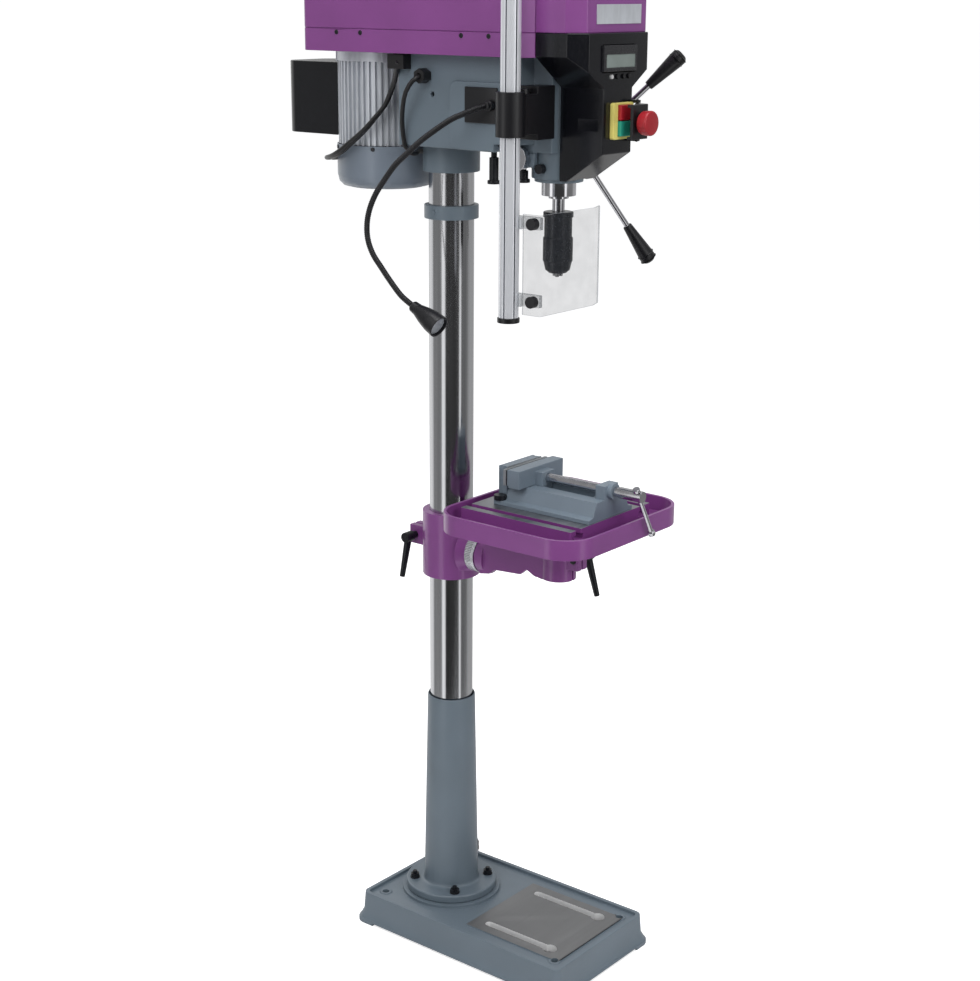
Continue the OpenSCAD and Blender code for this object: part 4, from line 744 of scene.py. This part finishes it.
# The lamp's bent neck: one rib repeated along its route, with its plate and socket
neckSet = {
    "thick": 10,
    "rib": 3.4,
    "waist": 0.86,
    "sides": 16,
    "route": [(-104, -169, 1560), (-125, -161, 1556), (-140, -140, 1546), (-150, -123, 1537), (-160, -99, 1520),
              (-170, -75, 1501), (-178, -54, 1481), (-185, -33, 1461), (-190, -13, 1435), (-195, 3, 1410),
              (-198, 14, 1384), (-200, 18, 1359), (-200, 16, 1334), (-200, 5, 1311), (-200, -13, 1291),
              (-200, -33, 1270), (-200, -55, 1249.5), (-200, -70, 1240.1), (-200, -82, 1234)],
    "plateLow": (-101, -180, 1530),
    "plateHigh": (-97.02, -112, 1588),
    "plateEdge": 1.2,
    "socket": ((-101, -169, 1560), (-111, -169, 1560)),
    "socketRadius": 9,
    "socketWall": 2.5,
    "socketDepth": 5,
    "socketEdge": 0.7,
}


def addNeck(s):
    route = bpy.data.curves.new("neckRoute", "CURVE")
    route.dimensions = "3D"
    points = smoothPath(s["route"], 4)
    spline = route.splines.new("POLY")
    spline.points.add(len(points) - 1)
    for knot, p in zip(spline.points, points):
        knot.co = (*(p * mm), 1)
    line = bpy.data.objects.new("neckRoute", route)
    bpy.context.scene.collection.objects.link(line)
    neck = addDisc("neckRibs", (0, 0, 0), (s["rib"], 0, 0), s["thick"] / 2, s["sides"])
    selectFaces(neck, lambda c, n: abs(n.x) > 0.9)
    bpy.ops.mesh.delete(type="FACE")
    bpy.ops.mesh.select_all(action="SELECT")
    bpy.ops.object.mode_set(mode="OBJECT")
    for edge in neck.data.edges:
        a, b = (neck.data.vertices[i].co for i in edge.vertices)
        edge.select = abs(a.x - b.x) > s["rib"] * mm * 0.5
    for point in neck.data.vertices:
        point.select = False
    bpy.context.tool_settings.mesh_select_mode = (False, True, False)
    bpy.ops.object.mode_set(mode="EDIT")
    bpy.ops.mesh.subdivide(number_cuts=3)
    bpy.ops.object.mode_set(mode="OBJECT")
    for point in neck.data.vertices:
        if point.co.x < 0.1 * mm or point.co.x > (s["rib"] - 0.1) * mm:
            point.co.y *= s["waist"]
            point.co.z *= s["waist"]
    pick(neck)
    length = sum((b - a).length for a, b in zip(points, points[1:]))
    row = neck.modifiers.new("row", "ARRAY")
    row.count = int(length / s["rib"])
    row.use_merge_vertices = True
    row.merge_threshold = 0.0002
    bend = neck.modifiers.new("route", "CURVE")
    bend.object = line
    bpy.ops.object.modifier_apply(modifier="row")
    bpy.ops.object.modifier_apply(modifier="route")
    bpy.ops.object.mode_set(mode="EDIT")
    bpy.ops.mesh.select_all(action="SELECT")
    bpy.ops.mesh.fill_holes(sides=0)
    bpy.ops.mesh.select_all(action="SELECT")
    bpy.ops.mesh.normals_make_consistent(inside=False)
    bpy.ops.object.mode_set(mode="OBJECT")
    bpy.data.objects.remove(line)
    plate = addBlock("lampPlate", s["plateLow"], s["plateHigh"])
    roundEdges(plate, s["plateEdge"])
    socket = addDisc("socket", *s["socket"], s["socketRadius"], 32)
    selectFaces(socket, lambda c, n: n.x < -0.9)
    bpy.ops.mesh.inset(thickness=s["socketWall"] * mm)
    bpy.ops.mesh.extrude_region_move(TRANSFORM_OT_translate={"value": (-s["socketDepth"] * mm, 0, 0)})
    bpy.ops.object.mode_set(mode="OBJECT")
    roundEdges(socket, s["socketEdge"])
    whole = join("lampNeck", neck, plate, socket)
    settle(whole, "lamp_neck", "black", 60)
    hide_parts("lamp_neck")


addNeck(neckSet)
print("lamp neck")


# The lamp's glass, a shallow dish a little inside the hood's mouth
lensSet = {
    "back": (-200, -133.9, 1207.6),
    "front": (-200, -136.1, 1206.5),
    "radius": 16.6,
    "rim": 2.2,
    "sunk": 1.2,
}


def addLens(s):
    lens = addDisc("lampLens", s["back"], s["front"], s["radius"])
    ahead = (Vector(s["front"]) - Vector(s["back"])).normalized()
    selectFaces(lens, lambda c, n: n.dot(ahead) > 0.9)
    bpy.ops.mesh.inset(thickness=s["rim"] * mm)
    bpy.ops.transform.translate(value=-ahead * s["sunk"] * mm)
    bpy.ops.object.mode_set(mode="OBJECT")
    roundEdges(lens, 0.3, 2)
    settle(lens, "lamp_head", "glass")


# The bare metal badge on the front of the head, where the photograph's has a name
badgeSet = {
    "low": (-57.5, -346.6, 1690.7),
    "high": (65.0, -345.0, 1720.9),
    "rim": 1.6,
    "sunk": 0.5,
}


# A bare black tag on the side of the head's housing, where the photograph's has a few letters
tagSet = {
    "low": (-41.0, -341.0, 1522.6),
    "high": (-39.9, -299.6, 1543.0),
    "rim": 1.2,
    "sunk": 0.4,
}


def addTag(s):
    tag = addBlock("sideTag", s["low"], s["high"])
    selectFaces(tag, lambda c, n: n.x < -0.9)
    bpy.ops.mesh.inset(thickness=s["rim"] * mm)
    bpy.ops.transform.translate(value=(s["sunk"] * mm, 0, 0))
    bpy.ops.object.mode_set(mode="OBJECT")
    roundEdges(tag, 0.2, 2)
    settle(tag, "front_housing", "gloss")


def addBadge(s):
    badge = addBlock("frontBadge", s["low"], s["high"])
    selectFaces(badge, lambda c, n: n.y < -0.9)
    bpy.ops.mesh.inset(thickness=s["rim"] * mm)
    bpy.ops.transform.translate(value=(0, s["sunk"] * mm, 0))
    bpy.ops.object.mode_set(mode="OBJECT")
    roundEdges(badge, 0.25, 2)
    settle(badge, "front_cover", "alloy")


addLens(lensSet)
addBadge(badgeSet)
addTag(tagSet)
print("lamp glass, badge and tag")
